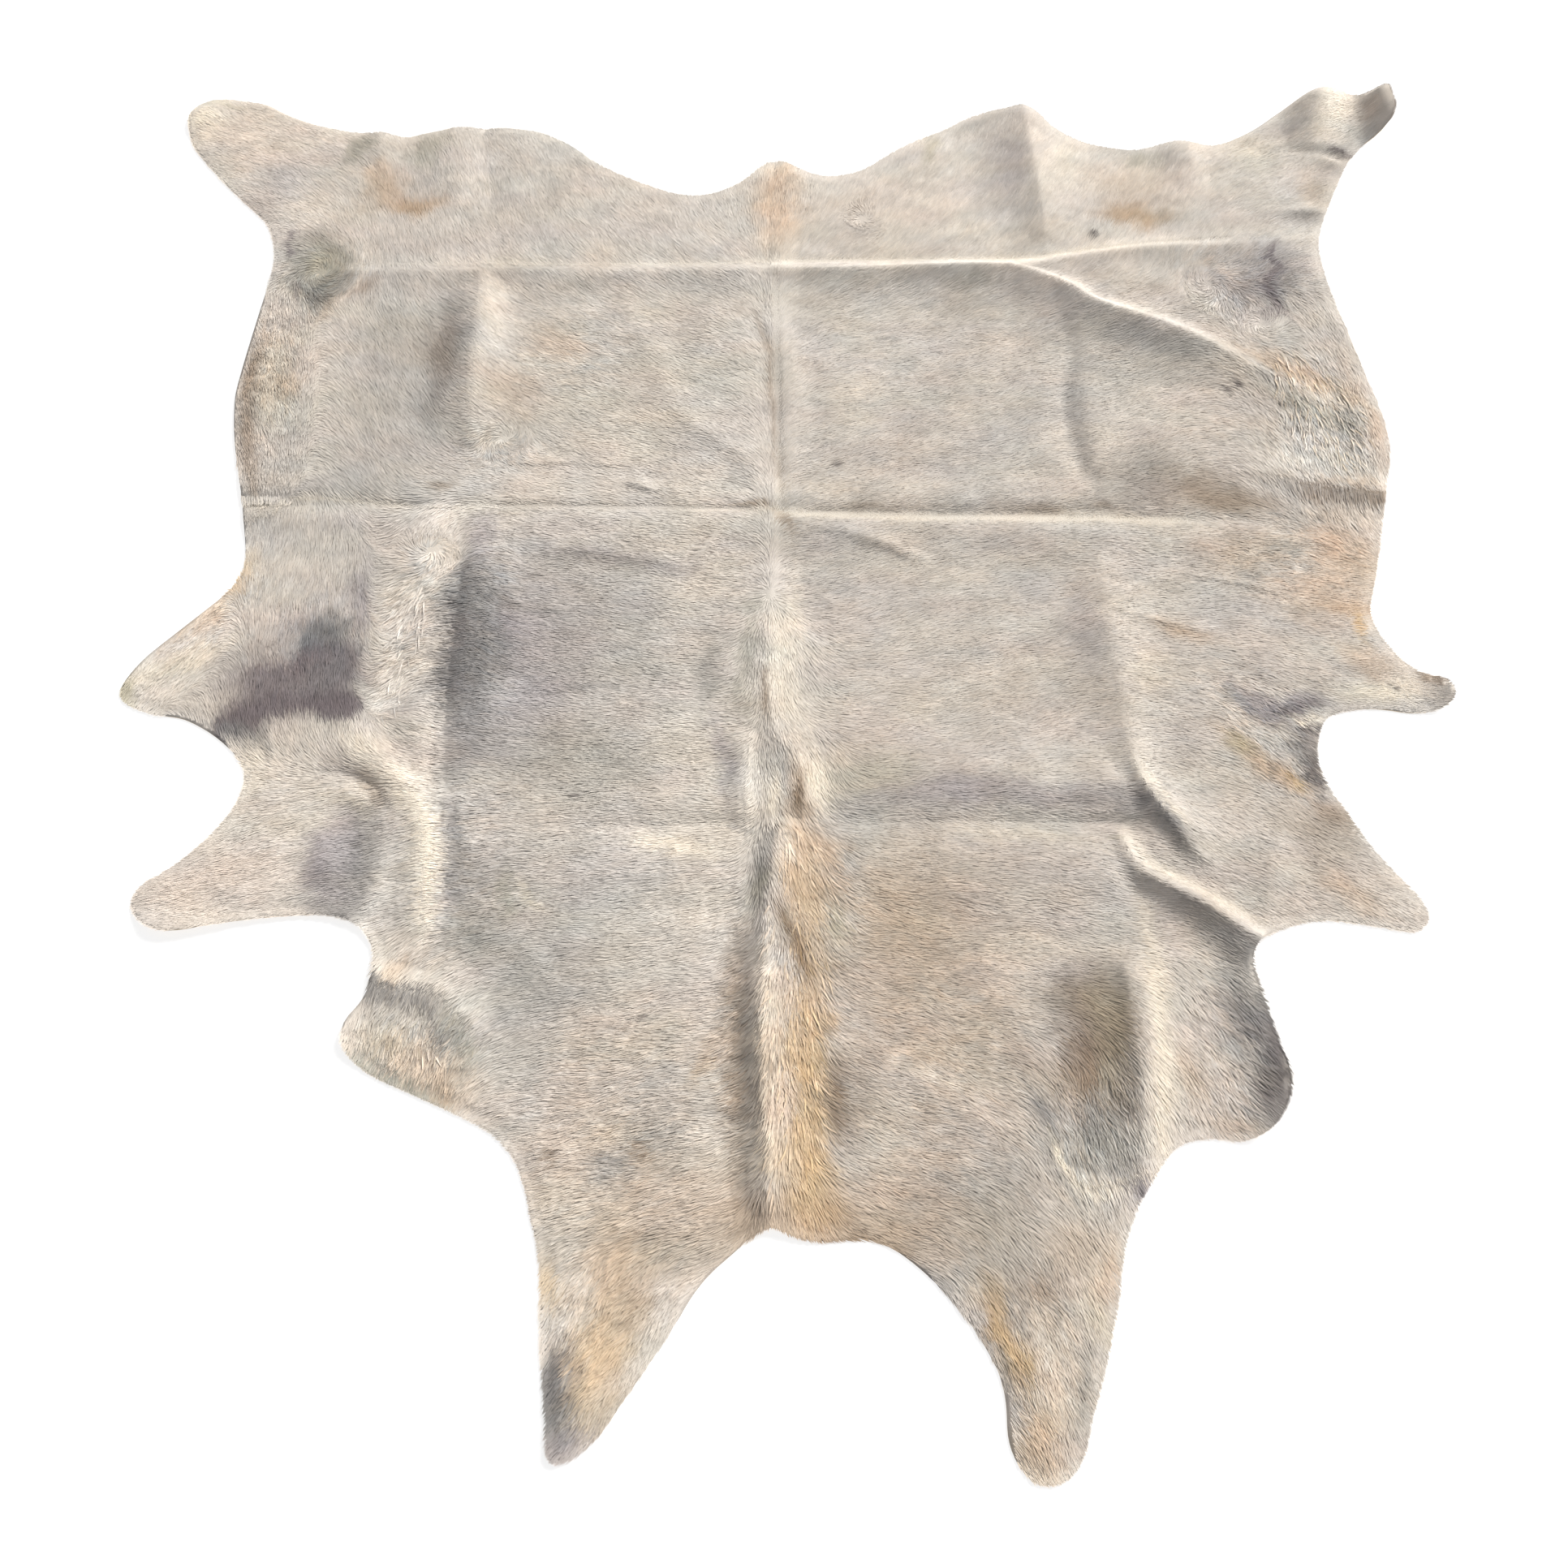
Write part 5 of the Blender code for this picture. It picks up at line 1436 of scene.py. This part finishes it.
def suede_material(name, pale, dark, grain_scale):
    """Chrome-tanned split leather, brushed: matt, with a short nap and soft clouds from the tanning drum."""
    material, output = new_material(name)
    clouds = noise_on(material, 14.0, 4.0)
    tone = add_node(material, "ShaderNodeMix", {"data_type": "RGBA"}, links={"Factor": clouds})
    tone.inputs["A"].default_value = (*linear(dark), 1)
    tone.inputs["B"].default_value = (*linear(pale), 1)
    bump = add_node(material, "ShaderNodeBump", values={"Strength": 0.5, "Distance": 0.0008},
                    links={"Height": noise_on(material, grain_scale, 3.0)})
    return shaded(material, output, {"Roughness": 0.95, "Specular IOR Level": 0.15},
                  {"Base Color": tone.outputs["Result"], "Normal": bump.outputs["Normal"]})


def skin_grid():
    """The skin's places, squares, corner triangles and border edges: a grid whose outermost points are moved
    onto the rim, with a triangle where only three corners of a cell are used."""
    low, high = RIM.min(0) - SKIN_CELL, RIM.max(0) + SKIN_CELL
    grid = np.stack(np.meshgrid(*(np.arange(a, b, SKIN_CELL) for a, b in zip(low, high))), -1)
    depth, outward = rim_near(grid)
    used = (depth > 0) | (np.abs(depth) < 0.5 * SKIN_CELL)
    number = np.arange(used.size).reshape(used.shape)
    corners = np.stack([number[:-1, :-1], number[:-1, 1:], number[1:, 1:], number[1:, :-1]], -1)
    corners = corners.reshape(-1, 4)
    count = used.ravel()[corners].sum(1)
    quads = corners[count == 4]
    partial = corners[count == 3]
    triangles = partial[used.ravel()[partial]].reshape(-1, 3)
    ends = np.concatenate([np.stack([faces, np.roll(faces, -1, axis=1)], -1).reshape(-1, 2)
                           for faces in (quads, triangles)])
    _, first, times = np.unique(np.sort(ends, 1), axis=0, return_index=True, return_counts=True)
    border = ends[first[times == 1]]
    places = grid.reshape(-1, 2)
    on_border = np.unique(border)
    places[on_border] += depth.ravel()[on_border, None] * outward.reshape(-1, 2)[on_border]
    kept = np.unique(np.concatenate([quads.ravel(), triangles.ravel()]))
    renumber = np.zeros(used.size, int)
    renumber[kept] = np.arange(len(kept))
    return places[kept], renumber[quads], renumber[triangles], renumber[border]


def build_skin(materials):
    """The skin as a closed sheet: its underside at the height chart, its top higher by the thickness times
    the root of 1 + slope squared, less the groove of a parting, and a wall between them along the rim."""
    places, quads, triangles, border = skin_grid()
    under = sampled(HEIGHT, places)
    rises = [sampled(HEIGHT, places + step) - under for step in ((SLOPE_STEP, 0), (0, SLOPE_STEP))]
    slope = np.hypot(*rises) / SLOPE_STEP
    over = under + SKIN_THICKNESS * np.sqrt(1 + slope**2) - SKIN_GROOVE * sampled(OPENED, places)
    points = np.vstack([np.column_stack([places, over]), np.column_stack([places, under])])
    n = len(places)
    wall = np.column_stack([border[:, 1], border[:, 0], border[:, 0] + n, border[:, 1] + n])
    groups = (quads, triangles, quads[:, ::-1] + n, triangles[:, ::-1] + n, wall)
    all_corners = np.concatenate([g.ravel() for g in groups])
    sizes = np.concatenate([np.full(len(g), g.shape[1]) for g in groups])
    slots = np.concatenate([np.full(len(g), slot) for g, slot in zip(groups, (0, 0, 1, 1, 2))])
    skin = add_mesh("hide_skin", points, all_corners, sizes, materials, slots)
    skin.data.shade_smooth()
    colours = sampled(COLOUR_AND_PAINTED_LIGHT, places) * UNDERCOAT_SHADE
    paint(skin, np.vstack([colours, colours]))
    return skin


# Short hair: roots on a jittered lattice, in millimetres and roots per square metre
ROOTS_PER_M2 = 232_000
ROOT_DEPTH = 0.8
HAIR_WIDTH = 2.3
ROOT_SUNK = 0.6
LEAST_LENGTH = 4
LEAST_HEIGHT = 0.3
PARTED_SHORT = 0.6
FRINGE = 2.5
RIM_SETTLED = 16.0
RIM_STAND = 0.3
UNDERCOAT_SHADE = 0.8
HAIR_SHADES = (0.84, 1.06, 0.84)
COAT_SEED = 40

# How single hairs differ. Columns of the ranges: least, most.
# Columns of the spreads: spread, spread added where the coat is uneven
RANGES = {
    "length": (0.75, 1.2),
    "fringe": (0.2, 1),
    "width": (0.7, 1.25),
    "roll": (-0.12, 0.12),
    "stand": (0.75, 1.2),
}
SPREADS = {"swing": (4, 6), "shade": (0.03, 0.06), "carry": (3, 5)}

# Columns: piece, its lower and upper line along the hide
REGIONS = (
    ("coat_neck", -900, 2),
    ("coat_shoulders", 2, 503),
    ("coat_back", 503, 998),
    ("coat_rump", 998, 1500),
)


def root_places(draws, low, high):
    """Roots inside the rim between two lines along the hide: a square lattice, each root moved at random."""
    step = 1000 / math.sqrt(ROOTS_PER_M2)
    sides = np.arange(LOW[0], HIGH[0], step), np.arange(low, high, step)
    grid = np.stack(np.meshgrid(*sides), -1).reshape(-1, 2)
    grid = grid + draws.uniform(-0.5, 0.5, grid.shape) * step
    grid = grid[(grid[:, 1] >= low) & (grid[:, 1] < high)]
    return grid[sampled(DEPTH, grid) > ROOT_DEPTH]


def streaks(name, places, way, uneven):
    """The named noise drawn out along the hair: its sum at five places up the hair's way, scaled back."""
    step = NOISE[name][3]
    return sum(noise(name, places - k * step * way, uneven) for k in range(STREAK_PLACES)) / STREAK_SPREAD


def turned(way, degrees):
    """Each way turned by its own angle."""
    c, s = np.cos(np.radians(degrees)), np.sin(np.radians(degrees))
    return np.column_stack([c * way[:, 0] - s * way[:, 1], s * way[:, 0] + c * way[:, 1]])


def add_hair_map(piece, count):
    """A bake map: each hair has its own cell, and a triangle in it, so that neighbours stay neighbours."""
    side = math.ceil(math.sqrt(count))
    number = np.arange(count)
    corner = np.stack([number % side, number // side], -1)[:, None]
    inside = np.array([(0.12, 0.12), (0.88, 0.12), (0.5, 0.88)])
    layer = piece.data.uv_layers.new(name="OFBake")
    layer.uv.foreach_set("vector", ((corner + inside) / side).astype(np.float32).ravel())


def build_coat(name, low, high, seed, material):
    """Short hairs as flat blades, one triangle each: from two points beside the root, sunk in the coat, to a
    tip one length down the hair's way. The tip stands over the skin by the lay's stand, less near the rim. A
    hair's colour is the chart's, times 1 + its streaks, noise and own shade."""
    draws = np.random.default_rng(seed)
    roots = root_places(draws, low, high)
    count = len(roots)
    lay = sampled(LAY_CHART, roots)
    uneven = sampled(UNEVEN, roots)

    def within(what):
        return draws.uniform(*RANGES[what], count)

    def around(what):
        spread, added = SPREADS[what]
        return (spread + added * uneven) * draws.normal(0, 1, count)

    swing = noise("hair swing, wide", roots) + noise("hair swing, fine", roots, uneven) + around("swing")
    way = turned(lay[:, :2], swing)
    way /= np.hypot(*way.T)[:, None]
    opened = sampled(OPENED, roots)
    length = lay[:, 2] * within("length") * (1 - PARTED_SHORT * opened)
    over = np.maximum(-sampled(DEPTH, roots + length[:, None] * way) - FRINGE * within("fringe"), 0)
    length = np.maximum(length - over, LEAST_LENGTH)
    tips = roots + length[:, None] * way
    width = HAIR_WIDTH * within("width")
    side = np.column_stack([-way[:, 1], way[:, 0]]) * width[:, None] / 2
    roll = within("roll") * width / 2
    base = sampled(HEIGHT, roots) + SKIN_THICKNESS - GROOVE * opened - ROOT_SUNK
    stand = lay[:, 3] * within("stand") * (1 + noise("hair stand", roots, uneven))
    stand *= np.clip(sampled(DEPTH, tips) / RIM_SETTLED, RIM_STAND, 1)
    top = sampled(HEIGHT, tips) + SKIN_THICKNESS + stand - GROOVE * sampled(OPENED, tips)
    points = np.empty((count, 3, 3))
    points[:, 0] = np.column_stack([roots - side, base - roll])
    points[:, 1] = np.column_stack([tips, top])
    points[:, 2] = np.column_stack([roots + side, base + roll])
    points[:, :, 2] = np.maximum(points[:, :, 2], LEAST_HEIGHT)
    coat = add_mesh(name, points.reshape(-1, 3), np.arange(3 * count), np.full(count, 3), [material])
    shade = 1 + streaks("hair streaks", roots, way, uneven) + noise("hair shade", roots) + around("shade")
    carried = roots + way * around("carry")[:, None]
    hue = streaks("hair hue", roots, way, uneven)
    colour = sampled(COLOUR_AND_PAINTED_LIGHT, carried) * shade[:, None] * np.column_stack([1 + hue, np.ones(count), 1 - hue])
    paint(coat, (colour[:, None] * np.array(HAIR_SHADES)[None, :, None]).reshape(-1, 3))
    add_hair_map(coat, count)
    return coat


# Long hair, each row a patch of it.
# Columns: name, across, along, half length, half width, turn, count, heading, fan, length, stand, colours
LOCKS = (
    ("crest, fan", 44, -60, 60, 32, 96, 140, -70, 24, 36, 2.0, ("peach", "tan")),
    ("crest, upper neck", 42, -200, 80, 26, 92, 140, -78, 18, 32, 2.0, ("gold", "tan")),
    ("crest, lower neck", 36, -350, 100, 28, 90, 150, -82, 16, 30, 2.0, ("gold", "tan", "peach")),
    ("crest, cream side", 0, -310, 190, 10, 91, 70, -105, 20, 22, 1.8, ("cream", "peach")),
    ("fluffy band, middle", -522, 290, 90, 24, 84, 90, -112, 30, 26, 2.4, ("silver grey", "pale grey")),
    ("fluffy band, foot", -536, 205, 40, 22, 70, 40, -120, 34, 24, 2.4, ("silver grey", "pale grey")),
    ("lobe, left", -435, -290, 66, 28, -15, 60, -100, 26, 20, 1.6, ("olive", "cream", "pale grey")),
    ("neck patch, right", 400, -390, 40, 36, 84, 60, -80, 10, 26, 1.6, ("cool grey", "pale grey")),
    ("flank, right", 838, 700, 120, 55, 110, 260, -78, 20, 26, 2.4, ("gold", "peach", "olive", "cream")),
)
LOCK_SEED = 71
LOCK_STEPS = 4
LOCK_WIDTH = 2.4
LOCK_LIFT = 0.8
LOCK_ARCH = 1.6
LOCK_SWING = 6
LOCK_BEND = 14
LOCK_LENGTHS = (0.65, 1.15)
LOCK_STANDS = (0.5, 1.3)
LOCK_WIDTHS = (0.7, 1.2)
LOCK_ROLLS = (-0.5, 0.5)
LOCK_OWN = 0.35
LOCK_SHADE = 0.05


def build_locks(material):
    """Long hairs as narrow ribbons on a grid of steps by two sides. Along a hair t runs from 0 to 1: its way
    turns evenly by its bend, it stands by sin(pi t / arch) of its stand, and its width falls by t squared."""
    draws = np.random.default_rng(LOCK_SEED)
    all_points, all_colours = [], []
    t = np.linspace(0, 1, LOCK_STEPS + 1)
    for _, across, along, half_length, half_width, turn, count, heading, fan, length, stand, colours in LOCKS:
        reach, angle = np.sqrt(draws.uniform(0, 1, count)), draws.uniform(0, 2 * math.pi, count)
        local = np.column_stack([reach * np.cos(angle) * half_length, reach * np.sin(angle) * half_width])
        roots = turned(local, np.full(count, float(turn))) + (across, along)
        start = heading - fan * local[:, 1] / half_width + noise("lock swing", roots)
        start += draws.normal(0, LOCK_SWING, count)
        bend = draws.normal(0, LOCK_BEND, count)
        angles = np.radians(start[:, None] + bend[:, None] * t)
        reach = length * draws.uniform(*LOCK_LENGTHS, count)
        stride = np.stack([np.cos(angles), np.sin(angles)], -1) * (reach / LOCK_STEPS)[:, None, None]
        line = roots[:, None] + np.concatenate([np.zeros((count, 1, 2)), np.cumsum(stride[:, 1:], 1)], 1)
        rise = stand * draws.uniform(*LOCK_STANDS, count)[:, None] * np.sin(math.pi * t / LOCK_ARCH)
        under = sampled(HEIGHT, line.reshape(-1, 2)).reshape(line.shape[:2])
        height = under + SKIN_THICKNESS + LOCK_LIFT + rise
        width = LOCK_WIDTH * draws.uniform(*LOCK_WIDTHS, count)[:, None] * (1.03 - t**2) / 2
        side = np.stack([-np.sin(angles), np.cos(angles)], -1) * width[..., None]
        roll = draws.uniform(*LOCK_ROLLS, count)[:, None] * width
        right = np.concatenate([line - side, (height - roll)[..., None]], -1)
        left = np.concatenate([line + side, (height + roll)[..., None]], -1)
        all_points.append(np.stack([right, left], 2).reshape(count, -1, 3))
        own = np.array([linear(COAT[colour]) for colour in colours])[draws.integers(0, len(colours), count)]
        shade = 1 + noise("lock shade", roots) + draws.normal(0, LOCK_SHADE, count)
        mixed = (LOCK_OWN * own + (1 - LOCK_OWN) * sampled(COLOUR_AND_PAINTED_LIGHT, roots)) * shade[:, None]
        ends = np.repeat(0.9 + 0.16 * t, 2)
        all_colours.append(mixed[:, None] * ends[None, :, None])
    points, colours = np.concatenate(all_points), np.concatenate(all_colours)
    count, each = points.shape[:2]
    first = np.arange(0, 2 * LOCK_STEPS, 2)
    quads = np.stack([first, first + 2, first + 3, first + 1], -1)
    corners = (np.arange(count)[:, None, None] * each + quads).reshape(-1)
    locks = add_mesh("long_hair", points.reshape(-1, 3), corners, np.full(count * LOCK_STEPS, 4), [material])
    paint(locks, colours.reshape(-1, 3))
    return locks


def build_rug():
    """The rug's pieces, each riding on the one body."""
    hair = hair_material()
    skin = build_skin([
        undercoat_material(),
        suede_material("suede underside", "#D9C9B4", "#C3AE94", 900.0),
        suede_material("cut leather edge", "#DCCDB8", "#C9B79E", 1400.0),
    ])
    coats = [build_coat(name, low, high, COAT_SEED + i, hair) for i, (name, low, high) in enumerate(REGIONS)]
    coats.append(build_locks(hair))
    for piece in [skin, *coats]:
        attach(piece, "root")
    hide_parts("hide")


# Stage, in metres and degrees, with the lens and its sensor in millimetres
FLOOR_HALF = 7.0
FLOOR_DROP = 0.0003
FLOOR_GLOW = 0.72
TILT = 25.0
CAMERA_FAR = 1.95
CAMERA_ON_DATUM = (0.015, 0.060)
LENS = 33.0
SENSOR = 36.0
SUN_HEADING = 45.0
SUN_HEIGHT = 32.0
SUN_SOFTNESS = 26.0
SUN_STRENGTH = 5.3
SKY_STRENGTH = 0.46


def build_stage():
    """A plain white light table, an even pale sky, one soft key light from the far right, and the camera."""
    material, output = new_material("white light table")
    rough = add_node(material, "ShaderNodeMapRange", values={"To Min": 0.85, "To Max": 0.95},
                     links={"Value": noise_on(material, 300.0, 2.0)})
    shaded(material, output, {"Base Color": (*linear("#AEAEAE"), 1), "Specular IOR Level": 0.1,
                              "Emission Color": (1, 1, 1, 1), "Emission Strength": FLOOR_GLOW},
           {"Roughness": rough.outputs["Result"]})
    mesh = bpy.data.meshes.new("floor")
    sides = ((-1, -1), (1, -1), (1, 1), (-1, 1))
    mesh.from_pydata([(x * FLOOR_HALF, y * FLOOR_HALF, -FLOOR_DROP) for x, y in sides], [], [(0, 1, 2, 3)])
    mesh.materials.append(material)
    floor = bpy.data.objects.new("floor", mesh)
    bpy.context.scene.collection.objects.link(floor)

    world = bpy.data.worlds.new("studio")
    world.use_nodes = True
    sky = world.node_tree.nodes["Background"]
    sky.inputs["Color"].default_value = (*linear("#FBFCFF"), 1)
    sky.inputs["Strength"].default_value = SKY_STRENGTH
    bpy.context.scene.world = world

    lamp = bpy.data.lights.new("key", "SUN")
    lamp.energy = SUN_STRENGTH
    lamp.angle = math.radians(SUN_SOFTNESS)
    lamp.color = linear("#FFFCF6")
    key = bpy.data.objects.new("key", lamp)
    key.rotation_euler = (math.radians(90 - SUN_HEIGHT), 0, math.radians(90 + SUN_HEADING))
    bpy.context.scene.collection.objects.link(key)

    lens = bpy.data.cameras.new("camera")
    lens.lens = LENS
    lens.sensor_width = SENSOR
    camera = bpy.data.objects.new("camera", lens)
    tilt = math.radians(TILT)
    camera.location = (
        CAMERA_ON_DATUM[0] - MIDDLE[0] * MM,
        CAMERA_ON_DATUM[1] - MIDDLE[1] * MM - CAMERA_FAR * math.sin(tilt),
        CAMERA_FAR * math.cos(tilt),
    )
    camera.rotation_euler = (tilt, 0, 0)
    bpy.context.scene.collection.objects.link(camera)
    bpy.context.scene.camera = camera
    bpy.context.scene.view_settings.view_transform = "Standard"


build_rug()
build_stage()
